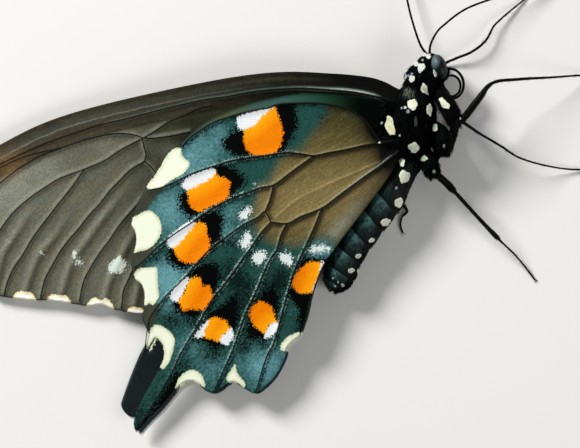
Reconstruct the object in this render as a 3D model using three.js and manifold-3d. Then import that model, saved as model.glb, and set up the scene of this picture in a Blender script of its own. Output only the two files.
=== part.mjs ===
// A pipevine swallowtail butterfly, dried with its wings closed over its back and lying on its left side.
// Millimetres, +Z up. The origin is under the thorax, on the surface the butterfly lies on.
// +Y runs towards the head and antennae, -X towards the wing tips, +X towards the legs.
// The body leans to the right of +Y, from the abdomen at the lower left to the head at the upper right.

import * as THREE from "three";
import { mergeVertices } from "three/addons/utils/BufferGeometryUtils.js";
import { TessellateModifier } from "three/addons/modifiers/TessellateModifier.js";
import Module from "manifold-3d";

const wasm = await Module();
wasm.setup();

// Driving dimensions
const clearance = 0.05; // left between two pieces that touch, so that each stays a solid of its own
const thoraxHeight = 2.85; // its middle above the surface, so that the side it lies on is a little flattened
// Eggs: half sizes across, along and up, lean, middle, and facets round and along
const trunk = { half: [2.6, 4.2, 3.0], lean: -0.1, place: [-0.9, 0.3, thoraxHeight], facets: [18, 12] };
const collar = { half: [2.0, 2.2, 2.0], lean: -0.21, place: [0.3, 4.4, thoraxHeight], facets: [14, 10] };
const head = { half: [1.35, 1.3, 1.45], lean: -0.3, place: [1.05, 6.1, 2.8], facets: [14, 10] };
const eye = { half: [0.78, 1.25, 1.0], lean: 0.32, across: 1.87, along: 5.8, aside: 0.95, facets: [12, 8] };
const wingThickness = 0.22;
const wingRoot = new THREE.Vector2(-2.2, 0);
const wingFacet = 4.6; // longest edge of a wing's facets, so that the wing can bend
const leftHindwingTurn = 0.01; // radians about +Z, so that its edge shows past the right one's
const abdomenSides = 14; // facets round each kind of limb
const lobeSides = 9;
const brushSides = 7;
const threadSides = 6;
const ringsPerStation = 2; // for every limb but the abdomen and the tongue
const abdomenRingsPerStation = 4;

// Colours as seen in daylight
const black = 0x0a0d0c;
const bodyBlue = 0x16262b;
const eyeGrey = 0x4a5660;
const legBlack = 0x0d0c0b;
const hindwingTeal = 0x3c6866;
const forewingGrey = 0x55543f;
const wingBlueBlack = 0x10181c;

// Roughness of the surfaces
const furRoughness = 0.9;
const scaleRoughness = 0.7;
const hornRoughness = 0.6;
const eyeRoughness = 0.25;

// A closed geometry as a solid that can be joined and cut
function solidOf(geometry) {
  const bare = geometry.clone();
  bare.deleteAttribute("normal");
  bare.deleteAttribute("uv");
  const merged = mergeVertices(bare, 1e-4);
  return new wasm.Manifold(
    new wasm.Mesh({
      numProp: 3,
      vertProperties: new Float32Array(merged.attributes.position.array),
      triVerts: new Uint32Array(merged.index.array),
    }),
  );
}

// The largest body of a solid as a geometry with flat facets
function geometryOf(solid) {
  const bodies = solid.decompose();
  bodies.sort((a, b) => b.volume() - a.volume());
  const mesh = bodies[0].getMesh();
  const geometry = new THREE.BufferGeometry();
  geometry.setAttribute("position", new THREE.BufferAttribute(new Float32Array(mesh.vertProperties), 3));
  geometry.setIndex(new THREE.BufferAttribute(new Uint32Array(mesh.triVerts), 1));
  const faceted = geometry.toNonIndexed();
  faceted.computeVertexNormals();
  return faceted;
}

function named(name, solid, color, roughness) {
  const material = new THREE.MeshStandardMaterial({ color, roughness, metalness: 0, flatShading: true });
  const mesh = new THREE.Mesh(geometryOf(solid), material);
  mesh.name = name;
  return mesh;
}

// An egg-shaped solid: a sphere stretched to three half sizes, then leaned about +Z and moved.
// The lean is in radians, from +Y towards -X, and the egg can be grown by a clearance on every side.
function egg({ half, lean, place, facets }, grown) {
  const geometry = new THREE.SphereGeometry(1, ...facets);
  geometry.scale(...half.map((size) => size + grown));
  geometry.rotateZ(lean);
  geometry.translate(...place);
  return solidOf(geometry);
}

// A round limb with closed ends, whose stations are [x, y, z, radius], joined by one smooth curve.
// Each ring lies across the curve, and its radius runs evenly from station to station.
// A swell makes it thicker or thinner along its length and round it.
function limb(stations, sides, ringsPerStation, swell = () => 1) {
  const curve = new THREE.CatmullRomCurve3(
    stations.map(([x, y, z]) => new THREE.Vector3(x, y, z)),
    false,
    "centripetal",
  );
  const rings = (stations.length - 1) * ringsPerStation;
  const positions = [];
  const faces = [];
  for (let ring = 0; ring <= rings; ring++) {
    const along = ring / rings;
    const station = Math.min(Math.floor(along * (stations.length - 1)), stations.length - 2);
    const share = along * (stations.length - 1) - station;
    const evenRadius = THREE.MathUtils.lerp(stations[station][3], stations[station + 1][3], share);
    const centre = curve.getPoint(along);
    const tangent = curve.getTangent(along);
    const across = new THREE.Vector3().crossVectors(tangent, new THREE.Vector3(0, 0, 1)).normalize();
    const up = new THREE.Vector3().crossVectors(across, tangent).normalize();
    for (let side = 0; side < sides; side++) {
      const angle = (side / sides) * 2 * Math.PI;
      const radius = evenRadius * swell(along, angle);
      const point = centre
        .clone()
        .addScaledVector(across, radius * Math.cos(angle))
        .addScaledVector(up, radius * Math.sin(angle));
      positions.push(point.x, point.y, point.z);
    }
  }
  for (let ring = 0; ring < rings; ring++) {
    for (let side = 0; side < sides; side++) {
      const a = ring * sides + side;
      const b = ring * sides + ((side + 1) % sides);
      faces.push(a, a + sides, b, b, a + sides, b + sides);
    }
  }
  const firstCentre = positions.length / 3;
  const lastCentre = firstCentre + 1;
  const start = curve.getPoint(0);
  const end = curve.getPoint(1);
  positions.push(start.x, start.y, start.z, end.x, end.y, end.z);
  for (let side = 0; side < sides; side++) {
    const next = (side + 1) % sides;
    faces.push(firstCentre, side, next);
    faces.push(lastCentre, rings * sides + next, rings * sides + side);
  }
  const geometry = new THREE.BufferGeometry();
  geometry.setAttribute("position", new THREE.Float32BufferAttribute(positions, 3));
  geometry.setIndex(faces);
  return geometry;
}

// A wing's outline: smooth stretches that meet at corners, each starting where the one before ended
const hindwingOutline = [
  // leading edge, from the root to the first pale spot
  [
    [-1.6, 0.9], [-3.7, 2.4], [-7.2, 2.9], [-10.2, 3.1], [-12.5, 3.05], [-17.1, 2.1], [-21.2, 0.4],
    [-23.7, -1.7], [-23.9, -2.3],
  ],
  // along the first pale spot, to its tip
  [[-23.9, -2.3], [-25.0, -2.6], [-26.0, -4.2], [-27.4, -6.4]],
  [[-27.4, -6.4], [-28.3, -8.1], [-28.8, -9.95]],
  // scallop at the second pale spot
  [[-28.8, -9.95], [-28.4, -10.7], [-28.3, -11.6], [-28.5, -12.65]],
  [[-28.5, -12.65], [-28.8, -14.0], [-28.4, -15.4]],
  // scallop at the third
  [[-28.4, -15.4], [-27.8, -15.9], [-27.5, -16.8], [-27.5, -18.0]],
  // tooth beside the tail
  [[-27.5, -18.0], [-27.7, -19.4], [-27.1, -20.8], [-27.2, -21.6], [-27.5, -22.4]],
  [[-27.5, -22.4], [-26.9, -22.0], [-26.5, -21.2]],
  [[-26.5, -21.2], [-25.6, -22.4], [-25.6, -23.4], [-26.0, -24.4]],
  // tail
  [[-26.0, -24.4], [-27.3, -26.6], [-28.3, -28.6], [-28.6, -29.9], [-28.4, -30.7]],
  [[-28.4, -30.7], [-27.2, -29.4], [-26.0, -28.2], [-24.5, -26.4]],
  // scallops and lobes of the lower edge
  [[-24.5, -26.4], [-23.8, -25.8], [-22.9, -25.5], [-22.2, -25.8], [-21.8, -26.2]],
  [[-21.8, -26.2], [-21.3, -26.6], [-20.7, -26.7], [-20.0, -26.4], [-19.4, -25.9]],
  [[-19.4, -25.9], [-18.6, -25.65], [-17.6, -26.35]],
  [[-17.6, -26.35], [-16.4, -26.8], [-14.8, -25.5], [-13.9, -24.1], [-13.4, -22.9], [-13.5, -22.5]],
  [[-13.5, -22.5], [-13.0, -21.8], [-12.0, -21.0]],
  // inner edge, back along the abdomen to the root
  [
    [-12.0, -21.0], [-11.3, -19.0], [-10.8, -16.9], [-9.8, -14.2], [-8.5, -12.3], [-5.4, -8.2],
    [-3.1, -5.1], [-1.6, -2.4],
  ],
  [[-1.6, -2.4], [-1.6, 0.9]],
];

const forewingOutline = [
  // leading edge to the wing tip
  [
    [-1.4, 3.2], [-2.5, 3.72], [-3.5, 4.25], [-4.8, 4.68], [-6.5, 4.93], [-9.0, 5.13], [-13.3, 5.3],
    [-17.9, 4.9], [-24.0, 3.8], [-32.0, 2.0],
  ],
  [
    [-32.0, 2.0], [-37.5, 0.3], [-42.0, -1.9], [-46.5, -4.5], [-49.8, -7.2], [-51.5, -9.6],
    [-51.6, -11.4], [-50.6, -12.7],
  ],
  // outer edge back to the lower corner, a shallow scallop at each pale spot
  [[-50.6, -12.7], [-49.6, -13.3], [-48.4, -14.3]],
  [[-48.4, -14.3], [-47.2, -14.8], [-45.7, -16.0]],
  [[-45.7, -16.0], [-44.4, -16.1], [-42.6, -17.0]],
  [[-42.6, -17.0], [-40.6, -17.3], [-38.7, -17.5]],
  [[-38.7, -17.5], [-37.3, -17.5], [-35.2, -17.75]],
  [[-35.2, -17.75], [-33.2, -18.1]],
  [[-33.2, -18.1], [-31.9, -17.9], [-30.9, -18.3]],
  [[-30.9, -18.3], [-29.3, -18.7]],
  [[-29.3, -18.7], [-28.0, -18.85], [-26.8, -18.6], [-26.0, -18.0]],
  // inner edge, under the hindwing, back to the root
  [[-26.0, -18.0], [-19.0, -12.0], [-12.0, -7.2], [-6.0, -3.4], [-1.4, -1.2]],
  [[-1.4, -1.2], [-1.4, 3.2]],
];

// The left hindwing's tail is a broad flat paddle, which shows to the left of the right one's narrow tail
const leftTailOutline = [
  [
    [-27.1, -20.8], [-28.4, -22.9], [-30.0, -26.9], [-30.2, -28.0], [-29.5, -28.9], [-28.8, -29.0],
    [-28.3, -28.9],
  ],
  [[-28.3, -28.9], [-27.2, -27.2], [-25.9, -25.4], [-24.5, -23.0]],
  [[-24.5, -23.0], [-26.0, -20.6], [-27.1, -20.8]],
];

function shapeOf(stretches) {
  const shape = new THREE.Shape();
  shape.moveTo(...stretches[0][0]);
  for (const stretch of stretches) {
    if (stretch.length === 2) shape.lineTo(...stretch[1]);
    else shape.splineThru(stretch.slice(1).map(([x, y]) => new THREE.Vector2(x, y)));
  }
  return shape;
}

// How high a wing's middle surface is: it leaves the thorax at one height and settles to another,
// by a bell curve of the distance from the root. A higher power keeps it up longer before it falls.
const wingHeights = {
  right_hindwing: { root: 4.5, far: 1.5, reach: 28, power: 3 },
  right_forewing: { root: 4.0, far: 0.75, reach: 26, power: 2 },
  left_forewing: { root: 1.75, far: 0.13, reach: 32, power: 2 },
  left_hindwing: { root: 1.2, far: wingThickness / 2 + 0.01, reach: 4.5, power: 2 },
};

function plate(outline) {
  return new THREE.ExtrudeGeometry(shapeOf(outline), { depth: 1, curveSegments: 1, bevelEnabled: false });
}

function bent(flat, { root, far, reach, power }, turn) {
  const divided = new TessellateModifier(wingFacet, 12).modify(flat);
  divided.translate(-wingRoot.x, -wingRoot.y, 0);
  divided.rotateZ(turn);
  divided.translate(wingRoot.x, wingRoot.y, 0);
  const position = divided.attributes.position;
  for (let i = 0; i < position.count; i++) {
    const distance = Math.hypot(position.getX(i) - wingRoot.x, position.getY(i) - wingRoot.y);
    const middle = far + (root - far) * Math.exp(-((distance / reach) ** power));
    position.setZ(i, middle + (position.getZ(i) - 0.5) * wingThickness);
  }
  return solidOf(divided);
}

// The thorax: a trunk that bears wings and legs, and the collar in front that bears the head
const thoraxSolid = (grown) => egg(trunk, grown).add(egg(collar, grown));
const ground = solidOf(new THREE.BoxGeometry(20, 20, 4).translate(0, 0, -2));
const thorax = thoraxSolid(0).subtract(ground);
const thoraxCutter = thoraxSolid(clearance);

// The head, a short face between two big eyes
const eyes = {
  right_eye: { ...eye, place: [eye.across, eye.along, head.place[2] + eye.aside] },
  left_eye: { ...eye, place: [eye.across, eye.along, head.place[2] - eye.aside] },
};
const eyeCutters = Object.values(eyes).map((shape) => egg(shape, clearance));
const headCutter = egg(head, clearance);

// The abdomen: eight rings that narrow to the tip, each a shallow swell between two grooves. The grooves
// run slanting: on the back they lie a little nearer to the head.
const abdomenRings = 8;
const grooveDepth = 0.07; // as a share of the radius
const grooveSlant = 0.22; // as a share of a ring's length, at the back and at the belly
const abdomenStations = [
  [-1.2, -3.3, 2.75, 1.35],
  [-2.2, -5.1, 2.6, 1.65],
  [-3.5, -7.4, 2.35, 1.9],
  [-4.9, -9.2, 2.2, 1.86],
  [-6.15, -11, 2.12, 1.8],
  [-7.25, -12.8, 2.0, 1.72],
  [-7.95, -14.6, 1.85, 1.68],
  [-8.4, -15.8, 1.7, 1.3],
  [-8.7, -16.6, 1.6, 0.3],
];
function ringSwell(along, angle) {
  const place = along * abdomenRings + grooveSlant * Math.cos(angle);
  return 1 - grooveDepth * Math.abs(Math.cos(place * Math.PI)) ** 6;
}
const widened = (stations) => stations.map(([x, y, z, radius]) => [x, y, z, radius + clearance]);
const ringed = solidOf(limb(abdomenStations, abdomenSides, abdomenRingsPerStation, ringSwell));
const abdomen = ringed.subtract(thoraxCutter);
const abdomenCutter = solidOf(limb(widened(abdomenStations), abdomenSides, abdomenRingsPerStation));

// Each leg grows out of a stout furry lobe on the thorax: [x, y, z, radius] from top to end
const hipStations = {
  right_foreleg: [
    [1.75, 3.6, 3.5, 0.45], [2.05, 2.8, 3.8, 0.72], [2.7, 1.9, 4.05, 0.86], [3.3, 0.7, 4.15, 0.78],
    [3.5, -0.2, 4.2, 0.36],
  ],
  right_midleg: [
    [1.3, -0.1, 3.3, 0.7], [2.05, -1.15, 3.6, 1.0], [2.3, -2.2, 3.7, 0.9], [2.35, -3.0, 3.6, 0.35],
  ],
  right_hindleg: [
    [0.2, -2.6, 3.5, 0.7], [0.75, -3.5, 3.6, 0.9], [1.15, -4.5, 3.7, 0.75], [1.4, -5.2, 3.7, 0.3],
  ],
  left_foreleg: [[1.6, 3.8, 2.1, 0.5], [2.2, 3.0, 1.6, 0.7], [2.7, 1.9, 1.3, 0.7], [3.0, 0.9, 1.2, 0.3]],
  left_midleg: [
    [1.1, -0.2, 2.0, 0.6], [1.8, -1.1, 1.6, 0.8], [2.1, -2.1, 1.6, 0.75], [2.2, -2.9, 1.6, 0.3],
  ],
  left_hindleg: [
    [0.2, -2.6, 1.9, 0.7], [0.6, -3.4, 1.6, 0.75], [0.9, -4.2, 1.6, 0.55], [1.0, -4.8, 1.6, 0.3],
  ],
};

// The legs themselves, from inside the lobe to the foot: the middle of each long part, and each joint
const legStations = {
  right_foreleg: [
    [3.3, 0.6, 4.2, 0.35], [3.95, 0.4, 4.3, 0.3], [4.4, 0.75, 4.45, 0.35],
    [5.75, 2.5, 4.8, 0.33], [7.2, 4.15, 4.7, 0.18], [10.0, 4.55, 3.6, 0.15], [12.8, 4.75, 2.3, 0.12],
    [15.8, 5.0, 0.9, 0.1], [18.4, 5.2, 0.13, 0.09],
  ],
  right_midleg: [
    [2.3, -2.8, 3.8, 0.32], [2.85, -2.35, 4.3, 0.31], [3.45, -0.9, 4.95, 0.26], [3.8, 0.35, 5.3, 0.2],
    [5.9, -0.9, 4.4, 0.13], [8.0, -2.1, 3.5, 0.12], [9.8, -3.2, 2.5, 0.1],
    [12.2, -3.95, 1.4, 0.09], [15.0, -4.4, 0.45, 0.09], [17.6, -4.4, 0.13, 0.09],
  ],
  right_hindleg: [
    [1.1, -4.5, 3.7, 0.33], [2.3, -5.55, 4.0, 0.34], [3.0, -6.25, 4.2, 0.33], [3.55, -6.85, 4.2, 0.21],
    [6.4, -9.9, 2.7, 0.2], [7.6, -11.1, 1.95, 0.26], [8.05, -11.55, 1.6, 0.12], [9.9, -13.35, 0.75, 0.09],
    [11.6, -15.5, 0.13, 0.09],
  ],
  left_foreleg: [
    [2.6, 1.9, 1.3, 0.3], [2.5, 3.2, 0.75, 0.25], [2.1, 4.7, 0.5, 0.2], [2.5, 6.1, 0.45, 0.14],
    [3.6, 6.7, 0.7, 0.13], [5.2, 7.35, 1.0, 0.13], [6.6, 8.45, 0.95, 0.12], [7.5, 10.0, 0.7, 0.1],
    [8.9, 11.3, 0.4, 0.09], [10.6, 12.7, 0.13, 0.09],
  ],
  left_midleg: [
    [2.2, -2.6, 1.6, 0.28], [3.0, -2.0, 1.2, 0.28], [3.5, -0.7, 0.9, 0.22], [3.5, 0.2, 0.7, 0.16],
    [2.2, -2.8, 0.3, 0.11], [0.9, -5.0, 0.13, 0.09],
  ],
  left_hindleg: [
    [0.6, -3.6, 1.7, 0.3], [-0.4, -4.6, 0.8, 0.3], [-1.3, -6.2, 0.55, 0.25], [-1.75, -7.6, 0.45, 0.17],
    [-1.25, -8.6, 0.3, 0.13], [-1.75, -9.2, 0.2, 0.1], [-1.9, -10.0, 0.15, 0.1],
    [-1.7, -10.7, 0.13, 0.09],
  ],
};

// Antennae, thin threads that end in a club
const antennaStations = {
  right_antenna: [
    [0.93, 7.0, 3.6, 0.14], [1.0, 7.9, 3.7, 0.12], [1.5, 9.0, 3.65, 0.11], [2.35, 9.95, 3.45, 0.11],
    [4.9, 11.75, 2.8, 0.11], [9.6, 13.4, 1.6, 0.12], [12.2, 14.2, 0.9, 0.22], [13.9, 14.8, 0.5, 0.34],
    [15.0, 15.3, 0.35, 0.14],
  ],
  left_antenna: [
    [0.75, 7.0, 2.1, 0.14], [0.0, 8.15, 2.0, 0.12], [-0.8, 10.6, 1.8, 0.11], [-1.35, 13.0, 1.5, 0.11],
    [-1.9, 16.0, 1.1, 0.11], [-2.3, 18.6, 0.75, 0.12], [-2.6, 21.0, 0.5, 0.22],
    [-2.8, 22.6, 0.37, 0.34], [-2.9, 23.8, 0.3, 0.14],
  ],
};

// The sucking tongue, wound in a flat oval spiral in front of the face. It comes in quickly over the first
// half turn and slowly after that: reach = inner + swing exp(-share / fall) + creep (1 - share).
const tongue = {
  turns: 1.75, start: 1.85, centre: [3.17, 3.87], height: 2.8, radius: 0.14, thinning: 0.2,
  inner: 0.88, swing: 0.6, fall: 0.18, creep: 0.18, wide: 0.93, high: 1.1,
};
function tongueStations() {
  const { turns, start, centre, height, radius, thinning, inner, swing, fall, creep, wide, high } = tongue;
  const stations = [[2.0, 5.3, height, radius]];
  const steps = 26;
  for (let step = 0; step <= steps; step++) {
    const share = step / steps;
    const angle = start - share * turns * 2 * Math.PI;
    const reach = inner + swing * Math.exp(-share / fall) + creep * (1 - share);
    const x = centre[0] + reach * wide * Math.cos(angle);
    const y = centre[1] + reach * high * Math.sin(angle);
    stations.push([x, y, height, radius * (1 - thinning * share)]);
  }
  return stations;
}

// Feelers beside the tongue, short brushes that turn up in front of the face
const palpStations = {
  right_palp: [
    [1.7, 4.7, 3.22, 0.25], [2.35, 4.75, 3.24, 0.27], [2.62, 5.2, 3.26, 0.23], [2.72, 5.7, 3.22, 0.1],
  ],
  left_palp: [
    [1.7, 4.7, 2.38, 0.25], [2.35, 4.75, 2.36, 0.27], [2.62, 5.2, 2.34, 0.23], [2.72, 5.7, 2.38, 0.1],
  ],
};

const butterfly = new THREE.Group();
butterfly.add(named("thorax", thorax, black, furRoughness));
butterfly.add(named("abdomen", abdomen, bodyBlue, scaleRoughness));

// Cuts a piece clear of everything that it grows out of or passes beside
function trimmed(piece, ...neighbours) {
  return neighbours.reduce((rest, neighbour) => rest.subtract(neighbour), piece);
}

// The eyes bulge past the sides of the head, which stays whole between them
const face = trimmed(egg(head, 0), thoraxCutter, ...eyeCutters);
butterfly.add(named("head", face, black, furRoughness));
for (const [name, shape] of Object.entries(eyes)) {
  butterfly.add(named(name, trimmed(egg(shape, 0), thoraxCutter), eyeGrey, eyeRoughness));
}
for (const [name, stations] of Object.entries(palpStations)) {
  const brush = solidOf(limb(stations, brushSides, ringsPerStation));
  const palp = trimmed(brush, thoraxCutter, headCutter, ...eyeCutters);
  butterfly.add(named(name, palp, black, furRoughness));
}
const palpCutters = Object.values(palpStations).map((stations) => {
  return solidOf(limb(widened(stations), brushSides, ringsPerStation));
});
const coil = solidOf(limb(tongueStations(), threadSides, 1));
const proboscis = trimmed(coil, thoraxCutter, headCutter, ...eyeCutters, ...palpCutters);
butterfly.add(named("proboscis", proboscis, legBlack, hornRoughness));
for (const [name, stations] of Object.entries(antennaStations)) {
  const thread = solidOf(limb(stations, threadSides, ringsPerStation));
  butterfly.add(named(name, trimmed(thread, headCutter, ...eyeCutters), black, hornRoughness));
}
for (const [name, stations] of Object.entries(legStations)) {
  const lobe = solidOf(limb(hipStations[name], lobeSides, ringsPerStation));
  const leg = lobe.add(solidOf(limb(stations, threadSides, ringsPerStation)));
  butterfly.add(named(name, trimmed(leg, thoraxCutter, abdomenCutter), legBlack, hornRoughness));
}

const bothHindwings = plate(hindwingOutline);
const bothForewings = plate(forewingOutline);
const broadTail = solidOf(plate(leftTailOutline));
const leftHindwing = geometryOf(solidOf(bothHindwings).add(broadTail));
const wings = {
  right_hindwing: { flat: bothHindwings, color: hindwingTeal, turn: 0 },
  right_forewing: { flat: bothForewings, color: forewingGrey, turn: 0 },
  left_forewing: { flat: bothForewings, color: wingBlueBlack, turn: 0 },
  left_hindwing: { flat: leftHindwing, color: wingBlueBlack, turn: leftHindwingTurn },
};
for (const [name, { flat, color, turn }] of Object.entries(wings)) {
  const wing = trimmed(bent(flat, wingHeights[name], turn), thoraxCutter);
  butterfly.add(named(name, wing, color, scaleRoughness));
}

export default butterfly;
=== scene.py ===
"""A dried pipevine swallowtail butterfly, lying on its left side with its wings closed over its back.

Shapes are worked out in millimetres, in the frame of the solids: +Z up, +Y towards the head, -X towards the
wing tips, the origin under the middle of the thorax. They become metres when a mesh is made.
"""

import bpy
import numpy as np
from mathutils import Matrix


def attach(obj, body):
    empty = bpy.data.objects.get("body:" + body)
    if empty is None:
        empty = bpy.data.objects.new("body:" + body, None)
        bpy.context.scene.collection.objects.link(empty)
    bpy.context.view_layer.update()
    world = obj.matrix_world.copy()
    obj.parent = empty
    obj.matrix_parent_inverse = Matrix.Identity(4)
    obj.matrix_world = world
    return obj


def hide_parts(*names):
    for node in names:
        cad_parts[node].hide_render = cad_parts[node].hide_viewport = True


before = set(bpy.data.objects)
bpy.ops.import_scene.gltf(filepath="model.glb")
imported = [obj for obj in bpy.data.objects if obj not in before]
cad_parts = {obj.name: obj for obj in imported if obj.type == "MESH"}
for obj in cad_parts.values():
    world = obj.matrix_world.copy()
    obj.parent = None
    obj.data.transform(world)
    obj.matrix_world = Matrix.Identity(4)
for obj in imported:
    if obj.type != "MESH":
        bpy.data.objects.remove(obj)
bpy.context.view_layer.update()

MM = 0.001
LYING = 0.01  # nothing reaches lower than this above the surface

# Sizes shared with the solids, in millimetres
WING_ROOT = np.array([-2.2, 0.0])
BODY_MIDDLE = 2.85
TRUNK = {"half": (2.6, 4.2, 3.0), "lean": -0.1, "place": (-0.9, 0.3, BODY_MIDDLE)}
COLLAR = {"half": (2.0, 2.2, 2.0), "lean": -0.21, "place": (0.3, 4.4, BODY_MIDDLE)}
HEAD = {"half": (1.35, 1.3, 1.45), "lean": -0.3, "place": (1.05, 6.1, BODY_MIDDLE - 0.05)}
EYE_SHAPE = {"half": (0.78, 1.25, 1.0), "lean": 0.32}
EYE_FACET = 0.045  # width of one facet
EYE_PLACES = {"right_eye": (1.87, 5.8, 3.75), "left_eye": (1.87, 5.8, 1.85)}
WING_BASE = 4.62  # height of the uppermost wing's surface beside the thorax
WING_BASE_REACH = 3  # how far that height holds to either side of the root
ACROSS_VEINS = np.array([0.66, -0.75])  # square to most veins, away from the light
FUR_DEPTH = 0.22  # the skin is this far under the solid's surface, which the fur reaches
MEMBRANE = 0.1  # thickness of a wing with its scales
FOLD_FADE = 4.0  # a fold rises over this length from its inner end
SKIN_LUMPS = 0.012  # height of the skin's slow waves, as a share of its radius
JOINT_NECK = 0.1  # how much a leg narrows at a joint, as a share of its radius
RING_SLANT = 0.22  # how far the abdomen's rings lean to either side, in rings
HAIR_POINTS, FLAKE_POINTS = 7, 6  # points in the mesh of one hair and of one scale


# Curves and distances


def curve_through(points, per_span=6, closed=False):
    """A smooth curve through points of any number of columns: on the span from p1 to p2 the Catmull-Rom cubic
    p1 + t(p2-p0)/2 + t^2(p0 - 5p1/2 + 2p2 - p3/2) + t^3(3(p1-p2) + p3 - p0)/2, where t runs from 0 to 1."""
    p = np.asarray(points, float)
    if closed:
        p0, p1, p2, p3 = np.roll(p, 1, 0), p, np.roll(p, -1, 0), np.roll(p, -2, 0)
    else:
        ends = np.vstack([2 * p[0] - p[1], p, 2 * p[-1] - p[-2]])
        p0, p1, p2, p3 = ends[:-3], ends[1:-2], ends[2:-1], ends[3:]
    t = (np.arange(per_span) / per_span)[None, :, None]
    p0, p1, p2, p3 = (q[:, None] for q in (p0, p1, p2, p3))
    curve = p1 + t * (p2 - p0) / 2 + t**2 * (p0 - 2.5 * p1 + 2 * p2 - p3 / 2)
    curve = curve + t**3 * (3 * (p1 - p2) + p3 - p0) / 2
    curve = curve.reshape(-1, p.shape[1])
    return np.vstack([curve, p[:1] if closed else p[-1:]])


def cornered(stretches):
    """A closed outline of smooth stretches that meet at corners."""
    curves = [curve_through(stretch)[:-1] for stretch in stretches]
    outline = np.vstack(curves)
    return np.vstack([outline, outline[:1]])


def in_parts(points, segments, work):
    """Runs work on the points a part at a time, so that points times segments fits in memory."""
    parts = np.array_split(points, max(1, len(points) * segments // 3_000_000))
    results = [work(part) for part in parts if len(part)]
    return [np.concatenate(column) for column in zip(*results)]


def nearest_on(points, path):
    """The nearest place on a path to each point, and how far off it is. On every segment the foot of the
    perpendicular is held between the segment's ends, and the closest foot wins."""
    starts = path[:-1]
    spans = np.diff(path, axis=0)
    squares = np.maximum((spans**2).sum(1), 1e-12)

    def work(part):
        offset = part[:, None] - starts
        share = np.clip((offset * spans).sum(2) / squares, 0, 1)
        miss = ((offset - share[..., None] * spans) ** 2).sum(2)
        best = miss.argmin(1)
        rows = np.arange(len(part))
        feet = starts[best] + share[rows, best, None] * spans[best]
        return feet, np.sqrt(miss[rows, best])

    return in_parts(points, len(starts), work)


def is_inside(points, loop):
    """Whether each point is inside a closed loop: a ray towards +X crosses it an odd number of times."""
    (ax, ay), (bx, by) = loop[:-1].T, loop[1:].T
    rise = np.where(by == ay, 1e-12, by - ay)

    def work(part):
        x, y = part[:, :1], part[:, 1:2]
        crossing = ax + (y - ay) * (bx - ax) / rise
        return ((((ay > y) != (by > y)) & (x < crossing)).sum(1) % 2 == 1,)

    return in_parts(points, len(ax), work)[0]


def depth_in(points, loops, reach=1.5):
    """How deep each point is inside the nearest of some loops, in millimetres: positive inside, negative
    outside, and never more than reach either way."""
    depth = np.full(len(points), -reach)
    for loop in loops:
        near = ((points > loop.min(0) - reach) & (points < loop.max(0) + reach)).all(1)
        if not near.any():
            continue
        gap = nearest_on(points[near], loop)[1]
        signed = np.where(is_inside(points[near], loop), gap, -gap)
        depth[near] = np.maximum(depth[near], np.clip(signed, -reach, reach))
    return depth


def closeness(points, paths, width, fade=0.0):
    """1 on a path, falling off to the sides as the bell exp(-(distance/width)^2). Near its first point a path
    rises evenly from nothing, over fade millimetres."""
    close = np.zeros(len(points))
    for path in paths:
        near = ((points > path.min(0) - 3 * width) & (points < path.max(0) + 3 * width)).all(1)
        if near.any():
            bell = np.exp(-((nearest_on(points[near], path)[1] / width) ** 2))
            if fade:
                bell *= np.clip(np.hypot(*(points[near] - path[0]).T) / fade, 0, 1)
            close[near] = np.maximum(close[near], bell)
    return close


def patches(points, spots):
    """The sum of soft round patches, each (x, y, radius, strength): strength times
    exp(-(distance/radius)^2)."""
    total = np.zeros(len(points))
    for x, y, radius, strength in spots:
        away = (points[:, 0] - x) ** 2 + (points[:, 1] - y) ** 2
        total += strength * np.exp(-away / radius**2)
    return total


def around(sides):
    """Even angles round a circle, one a side."""
    return np.arange(sides) / sides * 2 * np.pi


def unit(vectors):
    return vectors / np.maximum(np.linalg.norm(vectors, axis=-1, keepdims=True), 1e-9)


# Meshes


def piece(name, points, faces, materials, slot, replaces=(), face_materials=None, values=None):
    """A mesh object from whole arrays. faces is a list of arrays, each with one face a row. face_materials
    has one array for each of them. values are attributes, one number or one colour a point."""
    mesh = bpy.data.meshes.new(name)
    points = np.array(points, float)
    points[:, 2] = np.maximum(points[:, 2], LYING)
    faces = [np.asarray(rows) for rows in faces if len(rows)]
    corners = np.concatenate([rows.ravel() for rows in faces]).astype(np.int32)
    sizes = np.concatenate([np.full(len(rows), rows.shape[1]) for rows in faces])
    mesh.vertices.add(len(points))
    mesh.vertices.foreach_set("co", (points * MM).ravel())
    mesh.loops.add(len(corners))
    mesh.loops.foreach_set("vertex_index", corners)
    mesh.polygons.add(len(sizes))
    mesh.polygons.foreach_set("loop_start", (np.cumsum(sizes) - sizes).astype(np.int32))
    if face_materials is not None:
        mesh.polygons.foreach_set("material_index", np.concatenate(face_materials).astype(np.int32))
    mesh.update(calc_edges=True)
    mesh.polygons.foreach_set("use_smooth", np.full(len(sizes), True))
    for key, numbers in (values or {}).items():
        numbers = np.asarray(numbers, np.float32)
        if numbers.ndim == 1:
            mesh.attributes.new(key, "FLOAT", "POINT").data.foreach_set("value", numbers)
        else:
            mesh.attributes.new(key, "FLOAT_VECTOR", "POINT").data.foreach_set("vector", numbers.ravel())
    for material in materials:
        mesh.materials.append(material)
    mesh.update()
    thing = bpy.data.objects.new(name, mesh)
    bpy.context.scene.collection.objects.link(thing)
    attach(thing, "root")
    if replaces:
        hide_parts(*replaces)


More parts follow.
